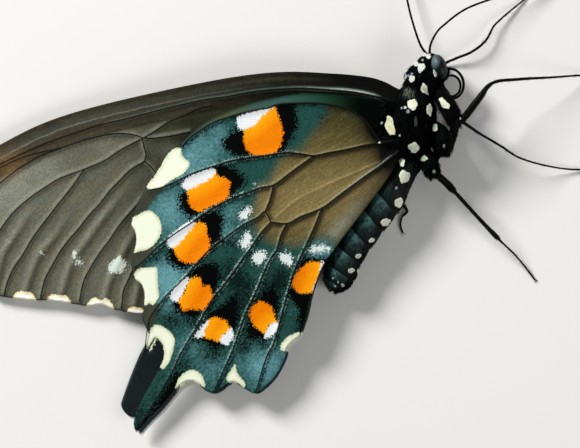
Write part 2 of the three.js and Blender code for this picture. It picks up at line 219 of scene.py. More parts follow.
def closed_rings(rings, first, last):
    """Points and faces of a closed skin: rings of points one after another, and a point at each end."""
    count, sides = rings.shape[:2]
    points = np.vstack([rings.reshape(-1, 3), first, last])
    a = (np.arange(count - 1)[:, None] * sides + np.arange(sides)).ravel()
    b = (np.arange(count - 1)[:, None] * sides + (np.arange(sides) + 1) % sides).ravel()
    quads = np.column_stack([a, a + sides, b + sides, b])
    side = np.arange(sides)
    following = (side + 1) % sides
    end = (count - 1) * sides
    start_fan = np.column_stack([np.full(sides, count * sides), side, following])
    end_fan = np.column_stack([np.full(sides, count * sides + 1), end + following, end + side])
    return points, [quads, np.vstack([start_fan, end_fan])]


def swept(path, radii, sides):
    """A limb: at each point p of the path a ring p + r cos(a) across + r sin(a) up, where across is level
    and up stands square to the path."""
    tangent = unit(np.gradient(path, axis=0))
    across = unit(np.cross(tangent, (0.0, 0.0, 1.0)))
    up = np.cross(across, tangent)
    angle = around(sides)[None, :, None]
    radius = np.asarray(radii, float).reshape(len(path), -1, 1)
    rings = path[:, None] + radius * (np.cos(angle) * across[:, None] + np.sin(angle) * up[:, None])
    return closed_rings(rings, path[:1], path[-1:])


def turned(vectors, lean):
    """Vectors turned by lean about Z."""
    c, s = np.cos(lean), np.sin(lean)
    x, y, z = np.moveaxis(np.asarray(vectors, float), -1, 0)
    return np.stack([c * x - s * y, s * x + c * y, z], -1)


def egg(shape, shrink=0.0, lumps=0.0):
    """An egg: place + (a cos v cos u, b sin v, c cos v sin u), turned by its lean, with v from tail to head
    and u round the long axis. lumps adds slow waves to the radius, as a share of it."""
    rows, sides = 48, 72
    half = np.array(shape["half"]) - shrink
    v = np.linspace(-np.pi / 2, np.pi / 2, rows + 2)[1:-1, None]
    u = around(sides)[None]
    swell = 1 + lumps * (np.sin(3 * u + 2 * v) * np.cos(5 * v) + 0.6 * np.sin(7 * u - 4 * v)) * np.cos(v)
    rings = np.stack([np.cos(v) * np.cos(u), np.sin(v) + 0 * u, np.cos(v) * np.sin(u)], -1) * swell[..., None]
    rings = turned(rings * half, shape["lean"]) + shape["place"]
    ends = turned(np.array([[0, -half[1], 0], [0, half[1], 0]]), shape["lean"]) + shape["place"]
    return closed_rings(rings, ends[:1], ends[1:])


def joined(*meshes):
    """Several (points, faces) as one, faces of like size together."""
    points, quads, triangles = [], [], []
    start = 0
    for some_points, faces in meshes:
        for rows in faces:
            if len(rows):
                (quads if rows.shape[1] == 4 else triangles).append(rows + start)
        points.append(some_points)
        start += len(some_points)
    stacked = [np.vstack(rows) for rows in (quads, triangles) if rows]
    return np.vstack(points), stacked


def hairs(roots, directions, lengths, widths):
    """Joined hairs. Each is a closed three-sided spike: a ring at the root, a thinner ring just past
    the middle, and a tip."""
    along = unit(directions)
    helper = np.where(np.abs(along[:, 2:]) > 0.9, (1.0, 0.0, 0.0), (0.0, 0.0, 1.0))
    across = unit(np.cross(along, helper))
    up = np.cross(across, along)
    lengths, widths = lengths[:, None], widths[:, None]
    angle = around(3)
    spokes = np.cos(angle)[:, None, None] * across + np.sin(angle)[:, None, None] * up
    middle = roots + along * lengths * 0.55
    tip = roots + along * lengths
    ring_a = roots + spokes * widths / 2
    ring_b = middle + spokes * widths * 0.36
    points = np.concatenate([ring_a, ring_b, tip[None]]).transpose(1, 0, 2).reshape(-1, 3)
    start = (np.arange(len(roots)) * HAIR_POINTS)[:, None, None]
    quads = start + np.array([[0, 3, 4, 1], [1, 4, 5, 2], [2, 5, 3, 0]])
    triangles = start + np.array([[0, 1, 2], [3, 6, 4], [4, 6, 5], [5, 6, 3]])
    return points, [quads.reshape(-1, 4), triangles.reshape(-1, 3)]


def flakes(centres, along, normal, lengths, widths, thickness):
    """Joined scales. Each is a closed flat leaf of six points: root, tip, two sides, and a middle above and
    below."""
    along = unit(along)
    across = unit(np.cross(normal, along))
    above = np.cross(along, across)
    lengths, widths = lengths[:, None], widths[:, None]
    corners = [
        centres - along * lengths / 2,
        centres + across * widths / 2 + along * lengths * 0.12,
        centres + along * lengths / 2,
        centres - across * widths / 2 + along * lengths * 0.12,
        centres + above * thickness / 2,
        centres - above * thickness / 2,
    ]
    points = np.stack(corners, 1).reshape(-1, 3)
    start = (np.arange(len(centres)) * FLAKE_POINTS)[:, None, None]
    top = [[0, 3, 4], [3, 2, 4], [2, 1, 4], [1, 0, 4]]
    bottom = [[3, 0, 5], [2, 3, 5], [1, 2, 5], [0, 1, 5]]
    return points, [(start + np.array(top + bottom)).reshape(-1, 3)]


# Wing shapes, all outlines in millimetres from the origin

HINDWING_EDGE = [
    # leading edge, then along the first pale spot
    [(-1.6, 0.9), (-3.7, 2.4), (-7.2, 2.9), (-10.2, 3.1), (-12.5, 3.05), (-17.1, 2.1), (-21.2, 0.4),
     (-23.7, -1.7), (-23.9, -2.3)],
    [(-23.9, -2.3), (-25, -2.6), (-26, -4.2), (-27.4, -6.4)],
    [(-27.4, -6.4), (-28.3, -8.1), (-28.8, -9.95)],
    # scallops at the second and third pale spots
    [(-28.8, -9.95), (-28.4, -10.7), (-28.3, -11.6), (-28.5, -12.65)],
    [(-28.5, -12.65), (-28.8, -14), (-28.4, -15.4)],
    [(-28.4, -15.4), (-27.8, -15.9), (-27.5, -16.8), (-27.5, -18)],
    # tooth beside the tail, and the tail
    [(-27.5, -18), (-27.7, -19.4), (-27.1, -20.8), (-27.2, -21.6), (-27.5, -22.4)],
    [(-27.5, -22.4), (-26.9, -22), (-26.5, -21.2)],
    [(-26.5, -21.2), (-25.6, -22.4), (-25.6, -23.4), (-26, -24.4)],
    [(-26, -24.4), (-27.3, -26.6), (-28.3, -28.6), (-28.6, -29.9), (-28.4, -30.7)],
    [(-28.4, -30.7), (-27.2, -29.4), (-26, -28.2), (-24.5, -26.4)],
    # scallops and lobes of the lower edge
    [(-24.5, -26.4), (-23.8, -25.8), (-22.9, -25.5), (-22.2, -25.8), (-21.8, -26.2)],
    [(-21.8, -26.2), (-21.3, -26.6), (-20.7, -26.7), (-20, -26.4), (-19.4, -25.9)],
    [(-19.4, -25.9), (-18.6, -25.65), (-17.6, -26.35)],
    [(-17.6, -26.35), (-16.4, -26.8), (-14.8, -25.5), (-13.9, -24.1), (-13.4, -22.9), (-13.5, -22.5)],
    [(-13.5, -22.5), (-13, -21.8), (-12, -21)],
    # inner edge, along the abdomen
    [(-12, -21), (-11.3, -19), (-10.8, -16.9), (-9.8, -14.2), (-8.5, -12.3), (-5.4, -8.2), (-3.1, -5.1),
     (-1.6, -2.4)],
    [(-1.6, -2.4), (-1.6, 0.9)],
]
LEFT_TAIL_EDGE = [
    [(-27.1, -20.8), (-28.4, -22.9), (-30, -26.9), (-30.2, -28), (-29.5, -28.9), (-28.8, -29),
     (-28.3, -28.9)],
    [(-28.3, -28.9), (-27.2, -27.2), (-25.9, -25.4), (-24.5, -23)],
    [(-24.5, -23), (-26, -20.6), (-27.1, -20.8)],
]
FOREWING_EDGE = [
    # leading edge, wing tip
    [(-1.4, 3.2), (-2.5, 3.72), (-3.5, 4.25), (-4.8, 4.68), (-6.5, 4.93), (-9, 5.13), (-13.3, 5.3),
     (-17.9, 4.9), (-24, 3.8), (-32, 2), (-37.5, 0.3), (-42, -1.9), (-46.5, -4.5), (-49.8, -7.2),
     (-51.5, -9.6), (-51.6, -11.4), (-50.6, -12.7)],
    # outer edge
    [(-50.6, -12.7), (-49.6, -13.3), (-48.4, -14.3)],
    [(-48.4, -14.3), (-47.2, -14.8), (-45.7, -16)],
    [(-45.7, -16), (-44.4, -16.1), (-42.6, -17)],
    [(-42.6, -17), (-40.6, -17.3), (-38.7, -17.5)],
    [(-38.7, -17.5), (-37.3, -17.5), (-35.2, -17.75)],
    [(-35.2, -17.75), (-33.2, -18.1)],
    [(-33.2, -18.1), (-31.9, -17.9), (-30.9, -18.3)],
    [(-30.9, -18.3), (-29.3, -18.7)],
    [(-29.3, -18.7), (-28, -18.85), (-26.8, -18.6), (-26, -18)],
    # inner edge, under the hindwing
    [(-26, -18), (-19, -12), (-12, -7.2), (-6, -3.4), (-1.4, -1.2)],
    [(-1.4, -1.2), (-1.4, 3.2)],
]

GLOSSY_VEIN = 6  # the one with a painted highlight beside it
HINDWING_VEINS = [
    [(-3.7, -1.8), (-4.3, -1.3), (-5, -0.3), (-5.6, 0.5), (-6.6, 1.2), (-8, 1.75), (-9.5, 2.05),
     (-11.5, 2.15), (-14, 2.05), (-15, 1.72), (-16, 1.54), (-17, 1.34), (-18, 1.1), (-19, 0.8), (-20, 0.5),
     (-21, 0.06), (-22, -0.56), (-23, -1.3), (-23.8, -2.2)],
    [(-2, -1.5), (-4, -1.8), (-5.7, -2.1), (-7.4, -2.5), (-9.1, -2.8), (-10.6, -3.1), (-12, -2.9),
     (-13.5, -2.8), (-15.6, -3.1), (-18.4, -3.5), (-20.5, -4.1), (-22.6, -4.8), (-24.3, -5.6),
     (-25.7, -6.2), (-27, -6.5)],
    [(-10.6, -3.1), (-12, -4.1), (-13.1, -4.9), (-14.6, -6), (-16, -6.3), (-17.1, -6.7), (-18.8, -7.35),
     (-20.5, -8.2), (-22.6, -9.6), (-24.7, -11), (-26.1, -12.1), (-27.8, -13.7), (-28.6, -14.3)],
    [(-14.65, -6.1), (-15, -7.5), (-15.5, -8.7)],
    [(-14.9, -9.7), (-15.5, -8.7), (-16.3, -9.3), (-17.7, -10), (-19.1, -11), (-21.2, -12.6), (-23, -14.7),
     (-24.2, -15.9), (-25.5, -17.2), (-26.8, -18.9), (-27.2, -20), (-27.5, -22.2)],
    [(-14.9, -9.7), (-15.9, -10.8), (-17, -12.4), (-18, -13.8), (-19, -15.2), (-20, -16.5), (-20.8, -17.5),
     (-21.5, -18.7), (-22.2, -20), (-23, -21.3), (-24, -23), (-24.8, -24.7), (-26, -26.8), (-27, -28.5),
     (-28.1, -30.1)],
    [(-1.8, -2.3), (-4, -4.1), (-5.3, -5), (-7.9, -6.9), (-9.8, -8.3), (-12, -9.2), (-13.3, -9.85),
     (-14.9, -9.7)],
    [(-13.3, -9.85), (-13.9, -11), (-14.3, -12.4), (-14.9, -13.3), (-15.6, -14.7), (-16.2, -16.2),
     (-16.8, -17.5), (-17.5, -19), (-18.2, -21), (-18.8, -22.7), (-19.5, -24.2), (-20.5, -26.4)],
    [(-9.8, -8.3), (-10.7, -10.5), (-11.5, -12.2), (-12.1, -13.5), (-12.7, -15), (-13.2, -16.7),
     (-13.7, -18.5), (-14.2, -20.3), (-14.7, -22), (-15.4, -23.3), (-16.4, -26.6)],
]
HINDWING_FOLD = [
    [(-3, -3), (-3.8, -3.5), (-7, -4.9), (-9.1, -5.8), (-12.3, -7.4), (-14.5, -9.2)],
]

FOREWING_VEINS = [
    [(-2, 1.9), (-3.3, 2.5), (-6.4, 3.2), (-9.5, 3.5), (-12.5, 3.64), (-16.4, 3.36), (-19.4, 2.83),
     (-22, 2.45), (-26, 1.53), (-29.2, 0.7), (-32, 0.05), (-33.8, -0.5), (-37, -1.6), (-40, -2.9),
     (-44, -4.9), (-48, -7.4), (-50.6, -9.5)],
    [(-20.8, 1.9), (-22, 1.7), (-24, 0.8), (-25, 0.4), (-26.5, -0.6), (-27.7, -1.3), (-30, -2.5),
     (-31.5, -3.5), (-33.6, -4.4), (-36, -5.3), (-37.5, -6.2), (-39, -7.2), (-40.8, -8.8), (-42, -10.4),
     (-43.8, -13.1), (-44.8, -15.9)],
    [(-33.6, -4.4), (-34.5, -5.7), (-35.5, -7), (-36.3, -8), (-37.7, -9.8), (-38.8, -11.3), (-39.8, -13),
     (-40.7, -14.3), (-41.4, -15.9), (-41.7, -17.2)],
    [(-27.7, -1.3), (-28.5, -1), (-29.5, -0.85), (-31, -0.9), (-32.5, -1.2), (-34, -1.6), (-36, -2.3),
     (-38.5, -3.3), (-41.5, -5.3), (-44.5, -8.3), (-46.8, -11.5), (-47.8, -14.3)],
    [(-36, -2.3), (-39.5, -3.1), (-43, -4.8), (-47, -7.8), (-50, -11.5)],
    [(-27.8, -1.3), (-27.6, -2.2), (-27.4, -3), (-27.5, -3.6), (-27, -4.1), (-26.5, -4.7), (-26.2, -5.5)],
    [(-27.5, -3.6), (-29, -4.5), (-30, -5.5), (-31, -6.5), (-32, -7.8), (-33.2, -9.1), (-34.2, -10.4),
     (-35, -11.3), (-36, -12.6), (-36.8, -14), (-37.5, -15.3), (-37.9, -16.7), (-38, -17.4)],
    [(-25, -4.5), (-27, -6.5), (-28.8, -8.5), (-30, -9.9), (-31, -11.4), (-32, -12.7), (-33, -14.3),
     (-33.7, -15.7), (-34.1, -17.6)],
    [(-25, -8), (-27, -11.3), (-28.3, -13.6), (-29.3, -15.7), (-29.7, -16.7), (-29.9, -18.4)],
    [(-23, -0.7), (-25, -1.1), (-26.5, -1.3), (-27.5, -1.3)],
]
FOREWING_FOLDS = [
    [(-38.6, -8), (-40.5, -11), (-41.5, -12.5), (-42, -13.7), (-42.6, -16.5)],
    [(-34.8, -8.7), (-37, -11.7), (-38, -12.8), (-38.8, -14.5), (-39.5, -16.6)],
    [(-29.2, -6.1), (-30.5, -7.8), (-32, -9.7), (-33, -11.1), (-34, -12.5), (-35, -14.2), (-35.9, -16.9)],
    [(-27.4, -9), (-29, -11.5), (-29.8, -13), (-31, -15.5), (-31.6, -17.5)],
    [(-27.4, -13.3), (-28, -15.5), (-28.6, -18)],
    [(-42.5, -8.7), (-44.8, -12), (-46.2, -14.7)],
]

# Markings of the hindwing's underside
ORANGE_SPOTS = [
    [(-15.2, 1.5), (-14.5, 1.8), (-14.3, 1.2), (-14, 0.5), (-13.74, -0.4), (-13.7, -1.1), (-13.9, -2),
     (-14.3, -2.6), (-14.95, -2.9), (-15.75, -3.05), (-16.44, -3), (-17.1, -2.75), (-17.45, -2.2),
     (-17.6, -1.5), (-17.6, -0.8), (-17.4, -0.2), (-16.5, 0.7)],
    [(-21.5, -5.2), (-20.6, -4.6), (-20.3, -5), (-20, -5.2), (-19.5, -5.3), (-18.9, -5.7), (-19.05, -6.3),
     (-19.1, -6.9), (-19.4, -7.4), (-20.1, -7.8), (-20.8, -8.1), (-21.5, -8.4), (-22.1, -8.7), (-23, -8),
     (-23.2, -7.5), (-23.2, -7), (-23.1, -6.2)],
    [(-22.2, -9.7), (-21.8, -9.7), (-21.4, -10), (-21.3, -10.7), (-21, -11.4), (-21.05, -12.1),
     (-21.2, -12.7), (-21.8, -13.2), (-22.3, -13.6), (-23, -13.8), (-23.7, -13.7), (-24.2, -13.3),
     (-24.6, -12.6), (-24.8, -12), (-24, -11.3), (-23.3, -10.5), (-22.8, -10)],
    [(-23, -15.4), (-22.5, -15.2), (-22.2, -15.1), (-21.9, -15.4), (-21.7, -16.1), (-21.2, -16),
     (-20.95, -16.3), (-20.8, -16.9), (-20.8, -17.4), (-21.2, -18), (-21.6, -18.4), (-22.1, -18.5),
     (-22.9, -18.4), (-23.6, -18.55), (-23.9, -18.2), (-24.1, -17.6), (-23.7, -16.9), (-23.3, -16.1)],
    [(-21.2, -19.6), (-20.8, -19.3), (-20.3, -19.2), (-19.8, -19.4), (-19.4, -19.5), (-19.2, -19.9),
     (-19, -20.2), (-18.9, -20.6), (-19.7, -21.1), (-20.1, -21.6), (-20.7, -21.5), (-21.4, -21.3),
     (-21.7, -21), (-21.5, -20.4)],
    [(-15.9, -17.65), (-15.4, -17.8), (-14.9, -18.1), (-14.6, -18.7), (-14.5, -19.4), (-14.4, -19.8),
     (-14.9, -19.9), (-15.2, -20.3), (-15.5, -20.8), (-16, -20.5), (-16.5, -20.2), (-16.8, -19.7),
     (-17, -19.2), (-17, -18.6), (-16.7, -18.1), (-16.2, -17.7)],
    [(-10.7, -13.65), (-10.3, -13.7), (-9.8, -13.9), (-9.8, -14.3), (-10, -14.7), (-10.2, -15.4),
     (-10.5, -16.1), (-10.8, -16.7), (-11.4, -16.8), (-12.1, -16.75), (-12.5, -16.4), (-12.8, -16),
     (-12.7, -15.5), (-12.4, -14.8), (-12, -14.4), (-11.5, -13.9), (-11.1, -13.7)],
]
# White scales that cover one side of an orange spot
WHITE_CAPS = [
    [(-18.2, 0.75), (-17.2, 1.2), (-16, 1.5), (-14.9, 1.74), (-14.7, 1.68), (-15.7, 0.9), (-16.5, 0),
     (-17.2, -0.35), (-18, -0.5), (-18.3, 0.1)],
    [(-23.65, -5.6), (-23, -5.1), (-22, -4.8), (-21, -4.4), (-20.5, -4.4), (-20.4, -4.8), (-20.9, -5.3),
     (-22.2, -6.05), (-23.2, -6.45), (-23.8, -6.1)],
    [(-25.3, -11.5), (-24.5, -10.7), (-23.6, -10), (-22.9, -9.6), (-22.4, -9.8), (-23, -10.6),
     (-23.9, -11.65), (-24.7, -12.3), (-25.1, -12.2)],
    [(-25, -17.2), (-24.8, -16.6), (-24.3, -15.95), (-23.5, -15.3), (-23.05, -15.4), (-23.35, -16.1),
     (-23.75, -16.8), (-24.2, -17.6), (-24.8, -17.5)],
    [(-22.6, -21.2), (-22.1, -20.5), (-21.7, -20), (-21.3, -19.6), (-21.1, -19.65), (-21.5, -20.5),
     (-21.6, -21), (-22.2, -21.3)],
    [(-18.9, -20.3), (-18.7, -20.8), (-18.7, -21.3), (-19, -21.6), (-19.2, -22), (-19.6, -21.9),
     (-20, -21.6), (-19.9, -21.1), (-19.4, -20.8)],
    [(-14.8, -19.8), (-14.3, -19.8), (-14.2, -20.3), (-14.6, -20.9), (-15, -21.2), (-15.6, -21.3),
     (-15.5, -20.8), (-15.2, -20.2)],
    [(-9.9, -13.7), (-9.6, -13.8), (-9.8, -14.5), (-10.1, -15.4), (-10.5, -16.4), (-10.8, -16.6),
     (-10.5, -15.9), (-10.1, -14.9)],
]
BLACK_PATCHES = [
    [(-14.3, 2.1), (-12.54, 2.1), (-12.3, 1), (-12.2, -0.2), (-12.65, -1.1), (-13.1, -2), (-13.6, -2.76),
     (-14.5, -3), (-15.8, -3.15), (-16.6, -3.2), (-17.7, -3.3), (-18.85, -2.9), (-19.66, -2.2),
     (-19.54, -1.4), (-18.6, -0.5), (-17.8, -0.4), (-15.8, 0.5)],
    [(-20.7, -4.3), (-19.8, -3.9), (-18.7, -4.2), (-18, -4.7), (-17.3, -5.5), (-17.5, -5.9), (-18.2, -6.7),
     (-18.8, -7.2), (-19.8, -7.8), (-20.8, -8.3), (-22, -8.9), (-22.7, -9.3), (-23.2, -9.1), (-23.9, -8.5),
     (-24.1, -7.8), (-24, -6.9), (-23, -6.4), (-21.5, -5.5)],
    [(-22.5, -9.6), (-21.6, -8.8), (-20.6, -8.5), (-19.7, -9), (-19.6, -9.7), (-19.8, -10.8),
     (-19.8, -11.5), (-20.5, -12.2), (-21.5, -13.1), (-22.5, -13.9), (-23, -14.3), (-23.9, -14.5),
     (-24.5, -14.3), (-25.1, -13.7), (-25.3, -12.9), (-24.8, -12.3), (-23.5, -11.3)],
    [(-23.1, -14.8), (-22.3, -14.1), (-21.3, -13.8), (-20.2, -13.9), (-20.1, -15), (-20.1, -16),
     (-20.3, -16.8), (-20.8, -17.8), (-21.5, -18.5), (-22.2, -19.3), (-22.8, -19.4), (-23.7, -19.1),
     (-24.4, -18.6), (-24.8, -17.9), (-24.4, -17.3), (-23.5, -16)],
    [(-21, -18.7), (-20.2, -18.1), (-19.4, -17.6), (-18.3, -16.9), (-18.1, -17.5), (-18.2, -18.5),
     (-18.1, -19.7), (-18.6, -20.7), (-19.2, -21.7), (-19.8, -22.1), (-20.4, -22.4), (-20.8, -22.3),
     (-21.7, -21.7), (-22.7, -21.6), (-22.1, -20.9), (-21.5, -19.7)],
    [(-16.7, -17.5), (-16.2, -17.1), (-15.5, -16.5), (-14.8, -16), (-14.2, -16.7), (-14, -17.5),
     (-14, -18.7), (-14.2, -19.7), (-14.7, -20.9), (-15.2, -21.3), (-15.8, -21.5), (-16.8, -21.3),
     (-17.5, -20.8), (-17.2, -20), (-17, -19)],
    [(-12.4, -13.9), (-12, -13.6), (-11, -13.2), (-9.4, -13.3), (-9.5, -14.1), (-11, -14.2), (-12, -14.6)],
    [(-13, -16), (-12, -16.7), (-10.6, -16.5), (-10.8, -17.5), (-11.1, -18.7), (-11.4, -19.9),
     (-11.7, -20.8), (-12.3, -20.8), (-12.2, -19.7), (-12.3, -18.5), (-12.7, -17.7), (-13.3, -17.2)],
    # the base of the wing
    [(0, 3.4), (-3.6, 3), (-5.6, 1.6), (-5.5, 0.5), (-4.9, -0.4), (-4.2, -1.5), (-3.4, -2.7), (-2.1, -3.9),
     (0, -3.5)],
    # inside the crescent
    [(-27.3, -22.4), (-26.9, -21.9), (-26.5, -21.4), (-26, -21.7), (-25.75, -22.4), (-25.8, -23.5),
     (-26.4, -24.4)],
    # the half of the tail that is folded under
    [(-24, -24.7), (-24.8, -25.2), (-25.9, -27), (-26.9, -28.7), (-27.9, -29.9), (-28.6, -30.2),
     (-28.8, -31.5), (-27, -31.5), (-25, -28.5), (-23.8, -26.7), (-23.4, -25.5)],
]
CREAM_SPOTS = [
    [(-24.8, -2.5), (-23.9, -2.35), (-23.75, -3.1), (-23, -3.9), (-23.7, -4.9), (-25, -5.6), (-26, -6.3),
     (-27.3, -6.3), (-26.4, -4.9), (-25.8, -3.9), (-25.45, -3.3)],
    [(-27.5, -8.6), (-26.8, -8.65), (-26.1, -9.3), (-25.85, -10.1), (-25.9, -10.9), (-26.4, -11.7),
     (-27, -12.3), (-27.8, -12.55), (-28.8, -12.6), (-29.2, -9.9), (-28.2, -9)],
    [(-28, -14.3), (-27, -14.25), (-26.4, -14.25), (-26.25, -14.7), (-26.2, -16.3), (-26.1, -17),
     (-26.3, -17.5), (-26.7, -18), (-27.1, -17.85), (-27.7, -18.1), (-28.1, -17.1), (-28.8, -15.5),
     (-28.6, -14.9)],
    [(-27.1, -20.9), (-26.7, -20.1), (-26.1, -20), (-25.2, -20.5), (-24.55, -21.3), (-24.65, -22.3),
     (-25, -23.5), (-25.5, -24.3), (-25.95, -24.3), (-25.7, -23.5), (-25.65, -22.3), (-26, -21.6),
     (-26.5, -21.3), (-26.9, -21.8), (-27.4, -22.5)],
    [(-24.5, -26.5), (-24.1, -25.3), (-23.3, -24.6), (-22.6, -24.5), (-21.8, -25.1), (-21.5, -26.2),
     (-22.2, -25.85), (-23, -25.65), (-23.8, -25.9)],
    [(-18.5, -23.9), (-18.9, -24.5), (-19.4, -25.3), (-19.1, -25.75), (-18.6, -25.7), (-18, -25.95),
     (-17.6, -26.3), (-17.5, -25.8), (-17.9, -25.3), (-18.3, -24.7)],
    [(-14, -22.25), (-13.4, -21.25), (-12.7, -20.9), (-12.1, -20.7), (-12, -21), (-12.75, -21.75),
     (-13.4, -22.6)],
]
TAN_DISC = [
    [(-8.8, 2.1), (-9.1, 1.7), (-9.3, 0.9), (-10.1, -0.1), (-10.9, -1.1), (-11.9, -2.4), (-13, -2.9),
     (-13.8, -3.3), (-14.4, -4.3), (-15, -5.5), (-16.1, -6.5), (-16.3, -7.9), (-16.6, -9.1), (-16.4, -10.3),
     (-15.8, -11.2), (-15, -11.6), (-13.7, -11.8), (-12.8, -12), (-12, -11.9), (-11.4, -11.5),
     (-10.2, -11.3), (-9, -11.3), (-8.2, -12.3), (-7, -10.9), (-5.2, -8.5), (-3.8, -6.9), (-2.6, -5.3),
     (-1.6, -3.5), (-3.4, -2.5), (-4.2, -1.3), (-4.9, -0.3), (-5.6, 0.5), (-6.6, 1.2), (-8, 1.75)],
]
GREY_BORDER = [
    [(-25.4, -6.1), (-26.3, -7.1), (-27, -8), (-27.5, -8.7), (-28.6, -9.7), (-29.4, -10.1), (-28.6, -8.3),
     (-28.2, -7.3), (-27.6, -6.4)],
    [(-26.6, -12.1), (-27, -13), (-27.7, -13.8), (-28.1, -14.7), (-29, -15.5), (-29.6, -13.7),
     (-28.8, -12.5)],
    [(-26.2, -17.8), (-26.2, -18.7), (-26.5, -19.7), (-26.9, -20.7), (-27.3, -21.5), (-28.4, -20.9),
     (-28.4, -18.7), (-28, -17.8)],
]
COSTAL_BAND = [
    [*HINDWING_VEINS[0][:9], *HINDWING_VEINS[0][10:13:2], *HINDWING_VEINS[0][14:],
     (-24.6, -1.8), (-23.4, 0.3), (-21.2, 1.8), (-17, 3.2), (-12.5, 4.2),
     (-7, 4.2), (-3.5, 3.4), (-2.8, 1.5)],
]
# Loose white scales past the disc: x, y, radius, strength
WHITE_DUST = [
    (-17.6, -9, 0.42, 2.8), (-17.1, -8.5, 0.4, 1.6), (-17.25, -11.1, 0.42, 2.4), (-17.5, -11.9, 0.5, 2.2),
    (-16.15, -13.3, 0.55, 2.8), (-15.7, -12.9, 0.4, 1.1), (-13.4, -13.3, 0.55, 2.2),
    (-13, -13.7, 0.42, 1.3), (-13.8, -13.1, 0.36, 1), (-10.5, -12.4, 0.38, 1.9), (-9.8, -12.35, 0.42, 1.7),
    (-9.2, -12.35, 0.3, 1.2), (-16.6, -5.9, 0.14, 1.6), (-11, -12.6, 0.4, 0.7),
]
# Where the teal is pale and blue, and where it is deep green: x, y, radius, strength
PALE_BLUE = [
    (-25, -8.6, 2.3, 1), (-22.8, -3, 2.4, 0.7), (-20, -1.2, 2.2, 0.5), (-25.6, -15.2, 1.9, 1),
    (-25, -17.6, 1.6, 0.6), (-23.2, -21.6, 2.2, 0.45), (-20, -24.4, 2.2, 0.35), (-15.4, -23.6, 2.2, 0.45),
    (-18.9, -8.7, 1.3, 0.5), (-19.2, -11, 1.4, 0.5), (-9.9, -12.6, 1.3, 0.9), (-12.6, -17.8, 1.5, 0.25),
    (-16.8, -15.8, 1.2, 0.2), (-21, -24.8, 1.4, 0.2), (-15.8, -24.4, 2, 0.7), (-22.6, -3.5, 1.6, 0.2),
    (-24.4, -14.7, 1.4, 0.5),
]
DEEP_GREEN = [
    (-18.6, -14.6, 1.5, 0.9), (-17.4, -16.6, 1.6, 1), (-18.6, -18.8, 1.4, 0.9), (-14.2, -16, 1.5, 1),
    (-13.6, -14.8, 1.2, 0.7), (-16, -19.5, 1.3, 0.8), (-21.6, -20.2, 1.5, 0.7), (-20.6, -22.8, 1.4, 0.9),
    (-25, -19.6, 1.3, 0.9), (-15.5, -22, 0.8, 0.8), (-11.2, -14, 0.9, 0.5), (-23.6, -24, 1, 0.8),
    (-21.8, -13.2, 1.3, 0.7), (-12.4, -20, 1, 0.5), (-26.6, -12.9, 1.2, 0.8), (-17.8, -22.4, 1, 0.5),
    (-20.4, -15.5, 1.2, 0.6), (-23, -19.6, 0.9, 0.5), (-9, 1.2, 2, 0.6), (-25.6, -25.4, 0.9, 0.4),
    (-26.5, -27.2, 1.2, 0.6), (-27.8, -29.3, 1.5, 1), (-18.9, -11.9, 0.9, 0.9), (-17.2, -21.7, 1.2, 0.5),
]

# How the wing darkens towards its root
ROOT_SHADE = [(-2.4, -0.5, 2.7, 1.9), (-4.6, 0.5, 1.5, 0.6), (-3.1, -3.9, 1.5, 0.8)]
# The grey strip of the hindwing that runs beside the abdomen
INNER_STRIP = [(-3.2, -4.4), (-5.5, -7.4), (-8.5, -11)]

# Markings of the forewing's underside
FOREWING_CREAM = [
    [(-40.7, -17.6), (-40.7, -17.1), (-40.4, -16.75), (-39.8, -16.65), (-39.1, -16.75), (-38.7, -17.1),
     (-38.6, -17.7)],
    [(-37.3, -17.8), (-37.2, -17.2), (-36.7, -16.95), (-36, -17.05), (-35.4, -17.1), (-35.1, -17.5),
     (-35.1, -18.1)],
    [(-33.3, -18.4), (-33.2, -17.7), (-32.6, -17.3), (-31.9, -17.5), (-31.4, -17.35), (-30.9, -17.8),
     (-30.8, -18.7)],
    [(-29.4, -19.1), (-29.2, -18.4), (-28.7, -18.2), (-28.1, -18.3), (-27.6, -18.6), (-27.6, -19.3),
     (-28.6, -19.3)],
    [(-42.8, -17.5), (-42.9, -16.6), (-43.7, -16.1), (-44.6, -15.8), (-45.2, -16), (-45.6, -16.7)],
    [(-46, -16.5), (-46.3, -15.5), (-47, -14.8), (-47.7, -14.4), (-48.2, -14.7), (-48.2, -15.5)],
]
FOREWING_DUST = [
    (-30.3, -14.2, 0.62, 1.6), (-30.8, -14.3, 0.5, 1), (-29.9, -13.9, 0.5, 1), (-30.2, -13.4, 0.3, 1),
    (-34.6, -12.9, 0.4, 1), (-34.2, -13.7, 0.48, 0.9), (-37.8, -12.75, 0.34, 0.75),
    (-41.1, -11.6, 0.3, 0.45), (-44.6, -10.4, 0.34, 0.5),
]
# The rust tint behind the leading edge
FOREWING_RUST = [(-41.2, -4.1, 1.6, 0.4), (-44, -6, 1.5, 0.25)]
PALE_LINE = [
    [(-2.8, 2.3), (-4, 2.7), (-5.2, 3.08), (-6.5, 3.33), (-8, 3.5), (-9.5, 3.55), (-12.5, 3.68),
     (-16.4, 3.4), (-19.4, 2.87), (-22, 2.5), (-26, 1.55), (-29.2, 0.75), (-31.5, 0.2)],
]
FOREWING_PALE = [
    (-41, -5.4, 2.8, 0.8), (-44.5, -8, 3, 0.7), (-37.2, -4.3, 1.6, 0.4), (-25, -2.6, 0.9, 0.25),
    (-31.5, -2, 1.2, 0.15),
]

# The body's limbs, by stations of x, y, z and radius
ABDOMEN_RINGS = 8
ABDOMEN_STATIONS = [
    (-1.2, -3.3, 2.75, 1.35), (-2.2, -5.1, 2.6, 1.65), (-3.5, -7.4, 2.35, 1.9), (-4.9, -9.2, 2.2, 1.86),
    (-6.15, -11, 2.12, 1.8), (-7.25, -12.8, 2, 1.72), (-7.95, -14.6, 1.85, 1.68), (-8.4, -15.8, 1.7, 1.3),
    (-8.7, -16.6, 1.6, 0.3),
]
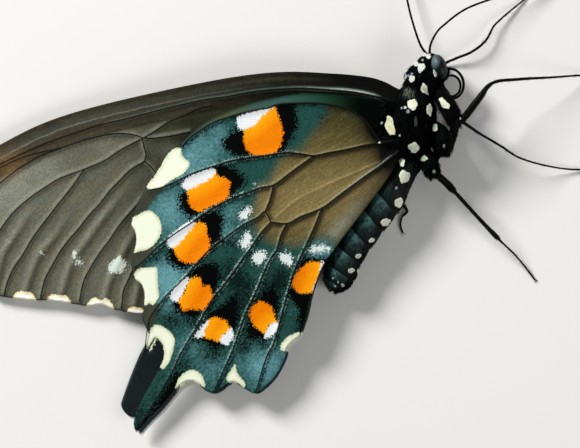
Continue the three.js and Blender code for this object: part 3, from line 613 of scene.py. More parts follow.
# The stout lobes that the legs grow out of
HIP_STATIONS = {
    "right_foreleg": [
        (1.75, 3.6, 3.5, 0.45), (2.05, 2.8, 3.8, 0.72), (2.7, 1.9, 4.05, 0.86), (3.3, 0.7, 4.15, 0.78),
        (3.5, -0.2, 4.2, 0.36),
    ],
    "right_midleg": [
        (1.3, -0.1, 3.3, 0.7), (2.05, -1.15, 3.6, 1), (2.3, -2.2, 3.7, 0.9), (2.35, -3, 3.6, 0.35),
    ],
    "right_hindleg": [
        (0.2, -2.6, 3.5, 0.7), (0.75, -3.5, 3.6, 0.9), (1.15, -4.5, 3.7, 0.75), (1.4, -5.2, 3.7, 0.3),
    ],
    "left_foreleg": [
        (1.6, 3.8, 2.1, 0.5), (2.2, 3, 1.6, 0.7), (2.7, 1.9, 1.3, 0.7), (3, 0.9, 1.2, 0.3),
    ],
    "left_midleg": [
        (1.1, -0.2, 2, 0.6), (1.8, -1.1, 1.6, 0.8), (2.1, -2.1, 1.6, 0.75), (2.2, -2.9, 1.6, 0.3),
    ],
    "left_hindleg": [
        (0.2, -2.6, 1.9, 0.7), (0.6, -3.4, 1.6, 0.75), (0.9, -4.2, 1.6, 0.55), (1, -4.8, 1.6, 0.3),
    ],
}
# The legs, from inside the lobe to the foot
LEG_STATIONS = {
    "right_foreleg": [
        (3.3, 0.6, 4.2, 0.35), (3.95, 0.4, 4.3, 0.3), (4.4, 0.75, 4.45, 0.35), (5.75, 2.5, 4.8, 0.33),
        (7.2, 4.15, 4.7, 0.18), (10, 4.55, 3.6, 0.15), (12.8, 4.75, 2.3, 0.12), (15.8, 5, 0.9, 0.1),
        (18.4, 5.2, 0.13, 0.09),
    ],
    "right_midleg": [
        (2.3, -2.8, 3.8, 0.32), (2.85, -2.35, 4.3, 0.31), (3.45, -0.9, 4.95, 0.26),
        (3.8, 0.35, 5.3, 0.2), (5.9, -0.9, 4.4, 0.13), (8, -2.1, 3.5, 0.12), (9.8, -3.2, 2.5, 0.1),
        (12.2, -3.95, 1.4, 0.09), (15, -4.4, 0.45, 0.09), (17.6, -4.4, 0.13, 0.09),
    ],
    "right_hindleg": [
        (1.1, -4.5, 3.7, 0.33), (2.3, -5.55, 4, 0.34), (3, -6.25, 4.2, 0.33),
        (3.55, -6.85, 4.2, 0.21), (6.4, -9.9, 2.7, 0.2), (7.6, -11.1, 1.95, 0.26),
        (8.05, -11.55, 1.6, 0.12), (9.9, -13.35, 0.75, 0.09), (11.6, -15.5, 0.13, 0.09),
    ],
    "left_foreleg": [
        (2.6, 1.9, 1.3, 0.3), (2.5, 3.2, 0.75, 0.25), (2.1, 4.7, 0.5, 0.2), (2.5, 6.1, 0.45, 0.14),
        (3.6, 6.7, 0.7, 0.13), (5.2, 7.35, 1, 0.13), (6.6, 8.45, 0.95, 0.12), (7.5, 10, 0.7, 0.1),
        (8.9, 11.3, 0.4, 0.09), (10.6, 12.7, 0.13, 0.09),
    ],
    "left_midleg": [
        (2.2, -2.6, 1.6, 0.28), (3, -2, 1.2, 0.28), (3.5, -0.7, 0.9, 0.22), (3.5, 0.2, 0.7, 0.16),
        (2.2, -2.8, 0.3, 0.11), (0.9, -5, 0.13, 0.09),
    ],
    "left_hindleg": [
        (0.6, -3.6, 1.7, 0.3), (-0.4, -4.6, 0.8, 0.3), (-1.3, -6.2, 0.55, 0.25),
        (-1.75, -7.6, 0.45, 0.17), (-1.25, -8.6, 0.3, 0.13), (-1.75, -9.2, 0.2, 0.1),
        (-1.9, -10, 0.15, 0.1), (-1.7, -10.7, 0.13, 0.09),
    ],
}
# At which station each leg's knee is
LEG_KNEES = {
    "right_foreleg": 4, "right_midleg": 3, "right_hindleg": 3, "left_foreleg": 3, "left_midleg": 3,
    "left_hindleg": 3,
}
# From the head to the club
ANTENNA_STATIONS = {
    "right_antenna": [
        (0.93, 7, 3.6, 0.14), (1, 7.9, 3.7, 0.12), (1.5, 9, 3.65, 0.11), (2.35, 9.95, 3.45, 0.11),
        (4.9, 11.75, 2.8, 0.11), (9.6, 13.4, 1.6, 0.12), (12.2, 14.2, 0.9, 0.22),
        (13.9, 14.8, 0.5, 0.34), (15, 15.3, 0.35, 0.14),
    ],
    "left_antenna": [
        (0.75, 7, 2.1, 0.14), (0, 8.15, 2, 0.12), (-0.8, 10.6, 1.8, 0.11),
        (-1.35, 13, 1.5, 0.11), (-1.9, 16, 1.1, 0.11), (-2.3, 18.6, 0.75, 0.12),
        (-2.6, 21, 0.5, 0.22), (-2.8, 22.6, 0.37, 0.34), (-2.9, 23.8, 0.3, 0.14),
    ],
}
TONGUE_HEIGHT = 2.8
# Feelers beside the tongue, one a mirror image of the other: x, y, z, radius
PALP_STATIONS = {
    name: [(1.7, 4.7, TONGUE_HEIGHT + side * 0.42, 0.25), (2.35, 4.75, TONGUE_HEIGHT + side * 0.44, 0.27),
           (2.62, 5.2, TONGUE_HEIGHT + side * 0.46, 0.23), (2.72, 5.7, TONGUE_HEIGHT + side * 0.42, 0.1)]
    for name, side in (("right_palp", 1), ("left_palp", -1))
}
# The wound tongue
TONGUE = {
    "turns": 1.75, "start": 1.85, "centre": (3.17, 3.87), "height": TONGUE_HEIGHT,
    "radius": 0.14, "thinning": 0.2,
    "inner": 0.88, "swing": 0.6, "fall": 0.18, "creep": 0.18, "wide": 0.93, "high": 1.1,
}

# How high the white spots lie over the skin, on the fur of head and thorax and on the abdomen
SPOT_ON_FUR, SPOT_ON_SKIN = 0.38, 0.16
# A spot's scales: some for each square millimetre of its width times its height, and a few more
SPOT_SCALES, FEWEST_SCALES = 480, 16
# White spots of the body: x, y, width, height, lean, and colour in red, green, blue
WHITE_SPOTS = [
    (0.47, 6.9, 0.35, 0.3, 0, 232, 234, 224), (0.83, 6.75, 0.45, 0.4, 0, 232, 234, 224),
    (0.3, 6.4, 0.2, 0.2, 0, 140, 150, 150), (-0.37, 5.97, 0.4, 0.45, 0, 228, 232, 224),
    (0.13, 5.67, 0.7, 0.65, 0.1, 240, 243, 232), (-0.03, 5.35, 0.35, 0.4, 0, 205, 210, 205),
    (1.37, 5.08, 0.25, 0.7, 0.3, 225, 228, 220), (-1.37, 4.75, 0.25, 0.5, 0, 170, 178, 180),
    (-1.1, 4.85, 0.2, 0.2, 0, 130, 136, 140), (-0.78, 5.03, 0.15, 0.15, 0, 130, 150, 190),
    (-0.8, 4.55, 0.5, 0.6, 0, 236, 238, 226), (0.33, 3.58, 0.6, 0.9, 0, 254, 255, 236),
    (0.58, 3.17, 0.3, 0.4, 0, 226, 230, 214), (-0.83, 1.95, 0.9, 1, 0.3, 243, 246, 222),
    (-1.52, 1.65, 0.25, 0.25, 0, 190, 196, 190), (-1.84, 1.6, 0.15, 0.15, 0, 150, 158, 155),
    (-1.25, 1.25, 0.3, 0.3, 0, 140, 148, 142), (0.78, 1.45, 0.5, 1.1, 0, 254, 255, 232),
    (2.38, 2.08, 0.52, 1.3, 0.72, 243, 246, 218), (3.92, 0.5, 0.3, 0.3, 0, 200, 214, 222),
    (1.45, -0.33, 0.5, 0.7, 0, 224, 236, 204), (-0.53, 0.25, 0.25, 0.9, 0, 62, 64, 44),
    (-3, -0.15, 0.92, 1.9, 0.23, 246, 247, 208), (-3.87, 0.13, 0.2, 0.2, 0, 150, 170, 190),
    (-4.1, -1.8, 0.2, 0.15, 0, 200, 202, 180), (-2.03, -1.08, 0.15, 0.15, 0, 190, 195, 180),
    (-0.63, -2.25, 0.75, 0.95, 0, 254, 255, 234), (-1.03, -2.17, 0.4, 0.5, 0, 240, 243, 216),
    (2.33, -2.13, 0.2, 0.3, 0, 130, 138, 126), (0.37, -3.37, 0.6, 0.5, 0, 208, 220, 188),
    (-1.83, -3.75, 0.5, 0.8, 0, 240, 243, 220), (-1.62, -5.17, 1, 1.2, 0, 250, 252, 228),
    (1.33, -4.67, 0.3, 0.25, 0, 140, 148, 136), (-2.42, -6.3, 0.2, 0.2, 0, 160, 168, 162),
    (-2.17, -7.75, 0.75, 0.95, -0.4, 250, 252, 230), (-3.5, -9.7, 0.95, 0.65, 0.3, 242, 245, 224),
    (-4.87, -11.5, 0.6, 0.35, 0.3, 230, 234, 220), (-6.2, -13.08, 0.6, 0.35, 0.3, 226, 230, 220),
    (-6.92, -14.53, 0.6, 0.4, 0.2, 222, 228, 218), (-6.17, -14.58, 0.3, 0.4, 0, 205, 212, 205),
    (-7.75, -16, 0.3, 0.3, 0, 190, 198, 192), (-8.7, -15.3, 0.12, 0.12, 0, 160, 168, 165),
    (-8.2, -15.7, 0.12, 0.12, 0, 160, 168, 165), (-8.5, -16.1, 0.12, 0.12, 0, 160, 168, 165),
]
# A tuft of grey-green hairs on the thorax: x, y, width, height
PALE_TUFT = (-0.97, 3.3, 1.3, 1.1)
# Coats of hair: how many, their shortest and longest, and how far they stand off the skin
COATS = {
    "trunk": (9500, (0.35, 0.95), 0.42), "collar": (4500, (0.3, 0.8), 0.42), "head": (3600, (0.25, 0.6), 0.6),
    "lobe": (2400, (0.25, 0.6), 0.5), "thigh": (700, (0.12, 0.32), 0.45), "shin": (170, (0.12, 0.26), 0.7),
    "palp": (700, (0.15, 0.35), 0.6), "abdomen": (9000, (0.15, 0.4), 0.22),
}
HAIR_WIDTHS = (0.035, 0.055)
FUR_BLACK, ABDOMEN_BLACK, STRAY_GREY, TUFT_GREY = (5, 6, 6), (9, 14, 13), (36, 46, 42), (112, 122, 106)
# Hairs lie flat on the wings in an oval round their root
WING_BASE_OVAL = {"place": (-2.7, 0.1), "half": (1.7, 2.4), "lengths": (0.3, 0.8)}

# The picture
PICTURE_MIDDLE = (-13, -9.9, 2.5)
PICTURE_WIDTH = 58.0
CAMERA_HEIGHT = 500.0
SENSOR = 36  # width of the camera's sensor
FLOOR_METRES = 1.2
# Lamps: place, width and watts
LAMPS = {"key": ((-380, 360, 330), 200, 5.2), "fill": ((430, -260, 380), 320, 1.5)}


class Wing:
    """One wing: its outline, how high it lies, and its veins and folds. It is worked out unturned."""

    def __init__(self, edge, veins, folds, root, far, reach, power, turn=0.0, extra_edge=None):
        self.turn = turn
        self.outlines = [cornered(stretches) for stretches in (edge, extra_edge) if stretches]
        self.veins = [curve_through(vein, 5) for vein in veins]
        self.folds = [curve_through(fold, 5) for fold in folds]
        self.root, self.far, self.reach, self.power = root, far, reach, power

    def placed(self, points):
        """Points turned about the wing's root, in plan."""
        moved = turned(points - (*WING_ROOT, 0.0), self.turn)
        return moved + (*WING_ROOT, 0.0)

    def rise(self, points):
        """Height of the middle surface: far + (root - far) exp(-(distance from the root / reach)^power)."""
        distance = np.hypot(*(points - WING_ROOT).T)
        return self.far + (self.root - self.far) * np.exp(-((distance / self.reach) ** self.power))

    def depth(self, points):
        """How deep points are inside the wing, and the nearest place on its edge."""
        depth = np.full(len(points), -np.inf)
        feet = np.zeros((len(points), 2))
        for outline in self.outlines:
            places, gap = nearest_on(points, outline)
            signed = np.where(is_inside(points, outline), gap, -gap)
            nearer = signed > depth
            depth = np.where(nearer, signed, depth)
            feet = np.where(nearer[:, None], places, feet)
        return depth, feet

    def trimmed_grid(self, step):
        """A square lattice whose points within three quarters of a step of the edge are moved onto it, and
        whose cells outside are left out. Gives points, cells and how deep inside each point is."""
        edges = np.vstack(self.outlines)
        xs, ys = (np.arange(edges[:, i].min() - step, edges[:, i].max() + 2 * step, step) for i in (0, 1))
        points = np.stack(np.meshgrid(xs, ys, indexing="ij"), -1).reshape(-1, 2)
        depth, feet = self.depth(points)
        on_edge = np.abs(depth) < 0.75 * step
        points = np.where(on_edge[:, None], feet, points)
        index = np.arange(len(points)).reshape(len(xs), len(ys))
        cells = np.stack([index[:-1, :-1], index[1:, :-1], index[1:, 1:], index[:-1, 1:]], -1).reshape(-1, 4)
        inner = (depth > 0) & ~on_edge
        cells = cells[(on_edge | inner)[cells].all(1) & inner[cells].any(1)]
        used, cells = np.unique(cells, return_inverse=True)
        return points[used], cells.reshape(-1, 4), np.where(inner, depth, 0)[used]


def two_faced(cells, count):
    """Faces of a thin sheet whose upper points come first: the upper cells, the lower ones turned round, and
    a rim between them along every edge that only one cell has."""
    a, b = cells.ravel(), np.roll(cells, -1, 1).ravel()
    lone = ~np.isin(a * count + b, b * count + a)
    a, b = a[lone], b[lone]
    rim = np.column_stack([b, a, a + count, b + count])
    return cells, cells[:, ::-1] + count, rim


# Materials


def daylight(red, green, blue):
    """A colour of 0 to 255 a channel, as screens show it, as the linear colour that shaders take."""
    shown = np.array([red, green, blue]) / 255
    linear = np.where(shown <= 0.04045, shown / 12.92, ((shown + 0.055) / 1.055) ** 2.4)
    return (*linear.tolist(), 1.0)


def tint_of(red, green, blue):
    """The same as an array, for pieces whose points carry their colour."""
    return np.array(daylight(red, green, blue)[:3])


class Paint:
    """One material's nodes, made a line at a time. Numbers go in beside sockets, and so do colours of 0 to
    255 a channel."""

    def __init__(self, name, roughness, specular):
        self.material = bpy.data.materials.new(name)
        self.material.use_nodes = True
        self.tree = self.material.node_tree
        self.shader = self.tree.nodes["Principled BSDF"]
        self.shader.inputs["Roughness"].default_value = roughness
        self.shader.inputs["Specular IOR Level"].default_value = specular

    def node(self, kind, inputs=None, **settings):
        made = self.tree.nodes.new("ShaderNode" + kind)
        for key, value in settings.items():
            setattr(made, key, value)
        for key, value in (inputs or {}).items():
            self.feed(made.inputs[key], value)
        return made

    def feed(self, socket, value):
        if isinstance(value, bpy.types.NodeSocket):
            self.tree.links.new(value, socket)
        else:
            socket.default_value = value

    def field(self, name):
        return self.node("Attribute", attribute_name=name).outputs["Fac"]

    def colours(self, name):
        return self.node("Attribute", attribute_name=name).outputs["Vector"]

    def math(self, operation, *values, clamp=False):
        inputs = dict(enumerate(values))
        return self.node("Math", inputs, operation=operation, use_clamp=clamp).outputs[0]

    def blend(self, amount, first, second, how="MIX"):
        inputs = {0: amount}
        for place, colour in ((6, first), (7, second)):
            inputs[place] = daylight(*colour) if isinstance(colour, tuple) else colour
        made = self.node("Mix", inputs, data_type="RGBA", blend_type=how, clamp_factor=True)
        return made.outputs[2]

    def place(self):
        return self.node("TexCoord").outputs["Object"]

    def scales(self, size, stretch=0.6, lean=-0.9):
        """Random numbers, three a scale: cells of that size in millimetres, longer than wide."""
        turn = self.node("Mapping", {"Vector": self.place(), "Rotation": (0, 0, lean)})
        thin = self.node("Mapping", {"Vector": turn.outputs[0], "Scale": (stretch, 1, 1)})
        inputs = {"Vector": thin.outputs[0], "Scale": 1 / (size * MM)}
        cells = self.node("TexVoronoi", inputs, voronoi_dimensions="2D")
        return self.node("SeparateColor", {0: cells.outputs["Color"]}).outputs

    def noise(self, size, detail=2.0):
        inputs = {"Vector": self.place(), "Scale": 1 / (size * MM), "Detail": detail}
        return self.node("TexNoise", inputs).outputs["Fac"]

    def streaks(self, x, y, lean, length, width):
        """Noise drawn out to streaks that run at the lean against the X axis, their sizes in millimetres."""
        c, s = np.cos(lean) / MM, np.sin(lean) / MM
        along = self.math("MULTIPLY_ADD", x, c / length, self.math("MULTIPLY", y, s / length))
        across = self.math("MULTIPLY_ADD", x, -s / width, self.math("MULTIPLY", y, c / width))
        place = self.node("CombineXYZ", {0: along, 1: across})
        return self.node("TexNoise", {"Vector": place.outputs[0], "Scale": 1.0, "Detail": 3.0}).outputs["Fac"]

    def spread(self, value, low, high, to_low=0.0, to_high=1.0):
        inputs = {"Value": value, 1: low, 2: high, 3: to_low, 4: to_high}
        return self.node("MapRange", inputs).outputs[0]

    def over(self, colour, name, amount, other):
        """The colour, covered by another as far as the field of that name times the amount says."""
        return self.blend(self.math("MULTIPLY", self.field(name), amount), colour, other)

    def marked(self, colour, name, other, grain, ragged, soft):
        """The colour, with another inside the marking of that name: where the depth in millimetres, a little
        more or less from scale to scale, is above nothing."""
        uneven = self.math("MULTIPLY_ADD", grain, ragged, -ragged / 2)
        depth = self.math("ADD", self.field(name), uneven)
        return self.blend(self.math("MULTIPLY_ADD", depth, 1 / soft, 0.5, clamp=True), colour, other)

    def sprinkled(self, colour, density, other, grain, soft):
        """The colour, with another on the scales whose random number is below the density."""
        shown = self.math("MULTIPLY", self.math("SUBTRACT", density, grain), 1 / soft, clamp=True)
        return self.blend(shown, colour, other)

    def ramp(self, value, stops):
        """Colours between stops of (share, red, green, blue)."""
        made = self.node("ValToRGB", {0: value})
        elements = made.color_ramp.elements
        first, *middle, last = stops
        for element, (share, *colour) in zip(elements, (first, last)):
            element.position = share
            element.color = daylight(*colour)
        for share, *colour in middle:
            elements.new(share).color = daylight(*colour)
        return made.outputs[0]

    def shaded(self, colour, grain, amount):
        """The colour with its light or dark changed a little from scale to scale."""
        level = self.math("MULTIPLY_ADD", grain, 2 * amount, 1 - amount)
        grey = self.node("CombineXYZ", {0: level, 1: level, 2: level}).outputs[0]
        return self.blend(1.0, colour, grey, "MULTIPLY")

    def finish(self, colour, bump=None, depth=0.0, strength=0.0):
        """The material, in that colour, with the bump's depth in millimetres."""
        self.feed(self.shader.inputs["Base Color"], colour)
        if bump is not None:
            inputs = {"Height": bump, "Distance": depth * MM, "Strength": strength}
            made = self.node("Bump", inputs)
            self.feed(self.shader.inputs["Normal"], made.outputs[0])
        return self.material


BLACK = (3, 4, 4)


# Stripes from the forewing's leading edge inwards, over four millimetres: share, red, green, blue
COSTA_OUTER = [
    (0.0, 40, 37, 25), (0.08, 48, 46, 33), (0.14, 55, 55, 45), (0.28, 68, 69, 61), (0.31, 106, 106, 96),
    (0.34, 56, 54, 41), (0.5, 54, 49, 35), (0.6, 62, 57, 43), (0.75, 46, 46, 32), (0.8, 74, 77, 61),
]
COSTA_INNER = [
    (0.0, 26, 25, 16), (0.1, 22, 21, 14), (0.17, 46, 46, 33), (0.23, 24, 26, 14), (0.3, 9, 12, 6),
    (0.6, 10, 12, 7), (0.8, 34, 36, 22),
]


# Along the hindwing's leading edge, from its outer end to the body
COSTAL_COLOURS = [
    (0.0, 64, 92, 88), (0.1, 66, 82, 68), (0.2, 70, 74, 48), (0.3, 62, 76, 56), (0.4, 50, 79, 70),
    (0.5, 50, 80, 72), (0.65, 33, 67, 56), (0.77, 18, 44, 28), (0.85, 5, 15, 7),
    (0.9, 1, 3, 1), (1.0, 1, 2, 1),
]


def hindwing_underside():
    """Teal scales with a tan disc, orange spots capped with white and set in black, and cream edge spots."""
    paint = Paint("hindwing_underside", roughness=0.6, specular=0.03)
    red, green, blue = paint.scales(0.075)[:3]
    slow = paint.noise(1.6)
    x, y = paint.node("SeparateXYZ", {0: paint.place()}).outputs[:2]
    pale = paint.math("MULTIPLY_ADD", slow, 0.6, paint.math("SUBTRACT", paint.field("pale"), 0.56))
    fleck = paint.spread(paint.noise(0.28, 3.0), 0.3, 0.7, -0.22, 0.22)
    pale = paint.math("ADD", paint.math("MULTIPLY_ADD", red, 0.2, pale), fleck)
    colour = paint.blend(pale, (31, 70, 62), (96, 146, 152))
    deep = paint.math("MULTIPLY_ADD", paint.field("deep"), 1.25, paint.spread(slow, 0.35, 0.65, -0.15, 0.2))
    # The dark green speckle also fills the painted shade beside the veins.
    deep = paint.math("MAXIMUM", deep, paint.math("MULTIPLY", paint.field("shadow"), 1.1))
    colour = paint.sprinkled(colour, deep, (9, 25, 21), green, 0.8)
    # Pale dotted lines beside the veins. The one on the lit side is partly a painted highlight.
    pair = paint.math("MAXIMUM", paint.field("light"), paint.math("MULTIPLY", paint.field("far_light"), 0.6))
    pair = paint.math("MULTIPLY", pair, paint.spread(paint.noise(0.9), 0.3, 0.6, 0.5, 1.1))
    pair = paint.math("MULTIPLY", pair, paint.spread(y, -0.026, -0.0225, 0.15, 1.0))
    colour = paint.sprinkled(colour, pair, (140, 172, 162), blue, 0.7)
    colour = paint.marked(colour, "border", (56, 60, 49), red, 0.3, 0.2)
    disc = paint.blend(paint.spread(y, 0.002, -0.0065), (33, 40, 12), (122, 107, 66))
    disc = paint.blend(paint.spread(y, -0.0085, -0.0112, 0.0, 0.6), disc, (76, 70, 44))
    streaks = paint.streaks(x, y, 0.55, 2.4, 0.2)
    disc = paint.blend(paint.spread(streaks, 0.5, 0.72, 0.0, 0.2), disc, (150, 132, 92))
    disc = paint.blend(paint.spread(streaks, 0.5, 0.28, 0.0, 0.22), disc, (60, 52, 30))
    strip = paint.blend(paint.spread(y, -0.0065, -0.0105), (90, 79, 56), (128, 133, 113))
    disc = paint.over(disc, "strip", 0.8, strip)
    # A broad painted shade beside the veins, on the side away from the light.
    disc = paint.over(disc, "dusk", 0.2, (70, 54, 30))
    disc = paint.over(disc, "shadow", 0.85, (34, 28, 13))
    disc = paint.over(disc, "light", 0.6, (152, 142, 102))
    disc = paint.over(disc, "fold", 0.55, (176, 154, 104))
    disc = paint.blend(paint.spread(paint.field("edge"), 0.05, 0.9, 0.7, 0.0), disc, (46, 40, 24))
    disc = paint.shaded(disc, paint.noise(1.4), 0.14)
    disc = paint.shaded(disc, green, 0.2)
    colour = paint.marked(colour, "disc", disc, green, 0.5, 1.1)
    colour = paint.blend(paint.field("root"), colour, (12, 13, 7))
    # A painted highlight beside the glossy vein, strongest towards the root.
    gleam = paint.math("MULTIPLY", paint.field("gleam"), paint.spread(x, -0.0105, -0.006, 0.0, 0.65))
    colour = paint.blend(gleam, colour, (168, 178, 176))
    colour = paint.shaded(colour, red, 0.18)
    colour = paint.marked(colour, "black", BLACK, blue, 0.8, 0.1)
    costal = paint.ramp(paint.spread(x, -0.024, -0.004), COSTAL_COLOURS)
    costal = paint.blend(paint.spread(paint.field("edge"), 0.02, 0.3, 0.8, 0.0), costal, (9, 22, 16))
    colour = paint.marked(colour, "costal", costal, red, 0.12, 0.15)
    dust = paint.math("MULTIPLY", paint.field("dust"), 0.55)
    colour = paint.sprinkled(colour, dust, (214, 221, 216), green, 0.2)
    under_cap = paint.math("MULTIPLY_ADD", paint.noise(0.8), 0.6, paint.field("white"))
    orange = paint.blend(paint.spread(under_cap, -1.2, 0.3), (230, 122, 3), (250, 165, 10))
    orange = paint.shaded(orange, blue, 0.08)
    colour = paint.marked(colour, "orange", orange, red, 0.3, 0.06)
    white = paint.shaded((226, 229, 228), blue, 0.06)
    colour = paint.marked(colour, "white", white, green, 0.26, 0.05)
    inner = paint.math("MULTIPLY_ADD", paint.noise(0.7), 0.3, paint.field("cream"))
    cream = paint.blend(paint.spread(inner, 0.1, 0.5), (196, 203, 162), (233, 237, 213))
    colour = paint.marked(colour, "cream", cream, blue, 0.12, 0.05)
    return paint.finish(colour, red, 0.02, 0.35)


def forewing_underside():
    """Grey-olive scales, a black and striped leading edge, and cream and powdery white spots at the edge."""
    paint = Paint("forewing_underside", roughness=0.62, specular=0.05)
    red, green, blue = paint.scales(0.11)[:3]
    slow = paint.noise(3.0)
    x = paint.node("SeparateXYZ", {0: paint.place()}).outputs[0]
    colour = paint.blend(slow, (86, 86, 70), (101, 101, 84))
    colour = paint.blend(paint.spread(paint.noise(1.1), 0.5, 0.75, 0.0, 0.4), colour, (104, 88, 62))
    colour = paint.blend(paint.spread(paint.noise(1.5), 0.5, 0.25, 0.0, 0.5), colour, (84, 90, 94))
    colour = paint.blend(paint.spread(x, -0.0318, -0.0235), colour, (41, 43, 27))
    colour = paint.blend(paint.field("pale"), colour, (134, 138, 124))
    # Painted shade and highlight beside the veins and folds.
    colour = paint.over(colour, "shadow", 0.5, (46, 46, 32))
    colour = paint.over(colour, "light", 0.32, (146, 148, 130))
    inward = paint.math("MULTIPLY_ADD", slow, 0.3, paint.math("SUBTRACT", paint.field("leading"), 0.15))
    outer = paint.ramp(paint.math("MULTIPLY", inward, 0.25), COSTA_OUTER)
    inner = paint.ramp(paint.math("MULTIPLY", inward, 0.25), COSTA_INNER)
    costa = paint.blend(paint.spread(x, -0.032, -0.014), outer, inner)
    grain = paint.streaks(x, paint.math("MULTIPLY", paint.field("leading"), MM), 0.0, 1.5, 0.12)
    brown = paint.blend(paint.spread(x, -0.036, -0.022), (90, 68, 42), (44, 38, 24))
    costa = paint.blend(paint.spread(grain, 0.52, 0.7, 0.0, 0.5), costa, brown)
    costa = paint.blend(paint.spread(grain, 0.48, 0.3, 0.0, 0.5), costa, (44, 48, 50))
    costa = paint.blend(paint.spread(x, -0.014, -0.008), costa, (6, 7, 5))
    colour = paint.blend(paint.spread(inward, 2.9, 3.5, 1.0, 0.0), colour, costa)
    colour = paint.blend(paint.field("rust"), colour, (138, 98, 54))
    line = paint.math("MULTIPLY", paint.field("pale_line"), paint.spread(x, -0.034, -0.02, 0.35, 0.9))
    line = paint.math("MULTIPLY", line, paint.spread(x, -0.0048, -0.0038, 1.0, 0.0))
    line_colour = paint.blend(paint.spread(x, -0.013, -0.0075), (88, 104, 94), (176, 190, 180))
    colour = paint.blend(line, colour, line_colour)
    colour = paint.shaded(colour, red, 0.22)
    colour = paint.sprinkled(colour, paint.field("dust"), (198, 208, 196), green, 0.5)
    cream = paint.blend(paint.spread(paint.field("cream"), 0.08, 0.35), (234, 222, 170), (254, 252, 238))
    colour = paint.marked(colour, "cream", cream, blue, 0.15, 0.06)
    return paint.finish(colour, red, 0.02, 0.3)


def upperside(name, sheen):
    """The side that faces the other wing: black scales with a blue gloss, and the edge spots."""
    paint = Paint(name, roughness=0.5, specular=0.2)
    red, _, blue = paint.scales(0.11)[:3]
    gloss = paint.math("MULTIPLY", paint.noise(4.0), sheen)
    colour = paint.blend(gloss, (9, 12, 12), (18, 34, 38))
    rim = paint.spread(paint.field("edge"), 0.02, 0.16, 1.0, 0.0)
    colour = paint.blend(paint.math("MULTIPLY", rim, 0.5), colour, (34, 62, 76))
    colour = paint.shaded(colour, red, 0.3)
    colour = paint.marked(colour, "cream", (226, 232, 206), blue, 0.3, 0.08)
    return paint.finish(colour, red, 0.02, 0.35)


def vein_horn():
    """The dark brown tubes of the veins."""
    paint = Paint("vein_horn", roughness=0.5, specular=0.1)
    colour = paint.blend(paint.noise(0.5), (12, 11, 8), (24, 22, 16))
    return paint.finish(colour, paint.noise(0.12), 0.01, 0.3)


def tinted(name, roughness, specular):
    """A finish whose colour each hair or scale carries itself, with a fine grain."""
    paint = Paint(name, roughness, specular)
    colour = paint.shaded(paint.colours("tint"), paint.noise(0.15), 0.15)
    return paint.finish(colour)


def skin():
    """The black shell under the fur."""
    paint = Paint("skin", roughness=0.7, specular=0.04)
    colour = paint.blend(paint.noise(0.8), (2, 3, 2), (9, 12, 10))
    return paint.finish(colour, paint.noise(0.12), 0.03, 0.5)


def abdomen_scales():
    """Dark blue-green scales, with a grey-blue highlight painted on the front of every ring on its lit side,
    and a black line behind it. The rings beside the thorax are black."""
    paint = Paint("abdomen_scales", roughness=0.5, specular=0.12)
    red, green = paint.scales(0.1, 0.7, 0.5)[:2]
    back, rings = paint.field("back"), paint.field("ring")
    ring = paint.math("FRACT", rings)
    # Painted highlight: the front of each ring, on the side that faces the light.
    gloss = paint.math("MULTIPLY", paint.spread(ring, 0.75, 0.1), paint.spread(back, -0.75, 0.35))
    gloss = paint.math("MULTIPLY", gloss, paint.spread(paint.noise(1.1), 0.3, 0.6))
    colour = paint.blend(gloss, (9, 25, 20), (78, 119, 116))
    # Paler towards the back, which also faces the light: partly the scales' own colour, partly painted light.
    colour = paint.blend(paint.math("MULTIPLY", paint.spread(back, 0.0, 0.9), 0.45), colour, (30, 62, 56))
    seam = paint.math("MAXIMUM", paint.spread(ring, 0.93, 0.99), paint.spread(ring, 0.05, 0.0))
    colour = paint.blend(seam, colour, BLACK)
    colour = paint.blend(paint.spread(rings, 1.9, 1.3), colour, BLACK)
    colour = paint.blend(paint.spread(back, -0.35, -0.85), colour, BLACK)
    colour = paint.shaded(colour, red, 0.3)
    return paint.finish(colour, green, 0.03, 0.5)


def eye_lens():
    """A dark green-grey eye of tiny facets, with a painted blue-grey highlight on the side towards the light.
    """
    paint = Paint("eye_lens", roughness=0.4, specular=0.2)
    # Painted highlight: paler and bluer where the eye faces the key light.
    eye_highlight = paint.spread(paint.field("eye_highlight"), 0.66, 0.98)
    colour = paint.blend(eye_highlight, (7, 17, 10), (82, 96, 103))
    facets = paint.node("TexVoronoi", {"Vector": paint.place(), "Scale": 1 / (EYE_FACET * MM)})
    return paint.finish(colour, facets.outputs["Distance"], 0.01, 0.3)


def horn():
    """Black horn of the legs, antennae and tongue, a little brown here and there."""
    paint = Paint("horn", roughness=0.45, specular=0.05)
    colour = paint.blend(paint.noise(0.6), (3, 3, 3), (12, 11, 9))
    return paint.finish(colour, paint.noise(0.06), 0.015, 0.4)


def backdrop():
    """The pale floor."""
    paint = Paint("pale_backdrop", roughness=0.9, specular=0.1)
    colour = paint.blend(paint.noise(40.0), (228, 226, 221), (233, 231, 227))
    return paint.finish(colour)


# Wings


def loops_of(markings):
    return [curve_through(marking, 4, closed=True) for marking in markings]


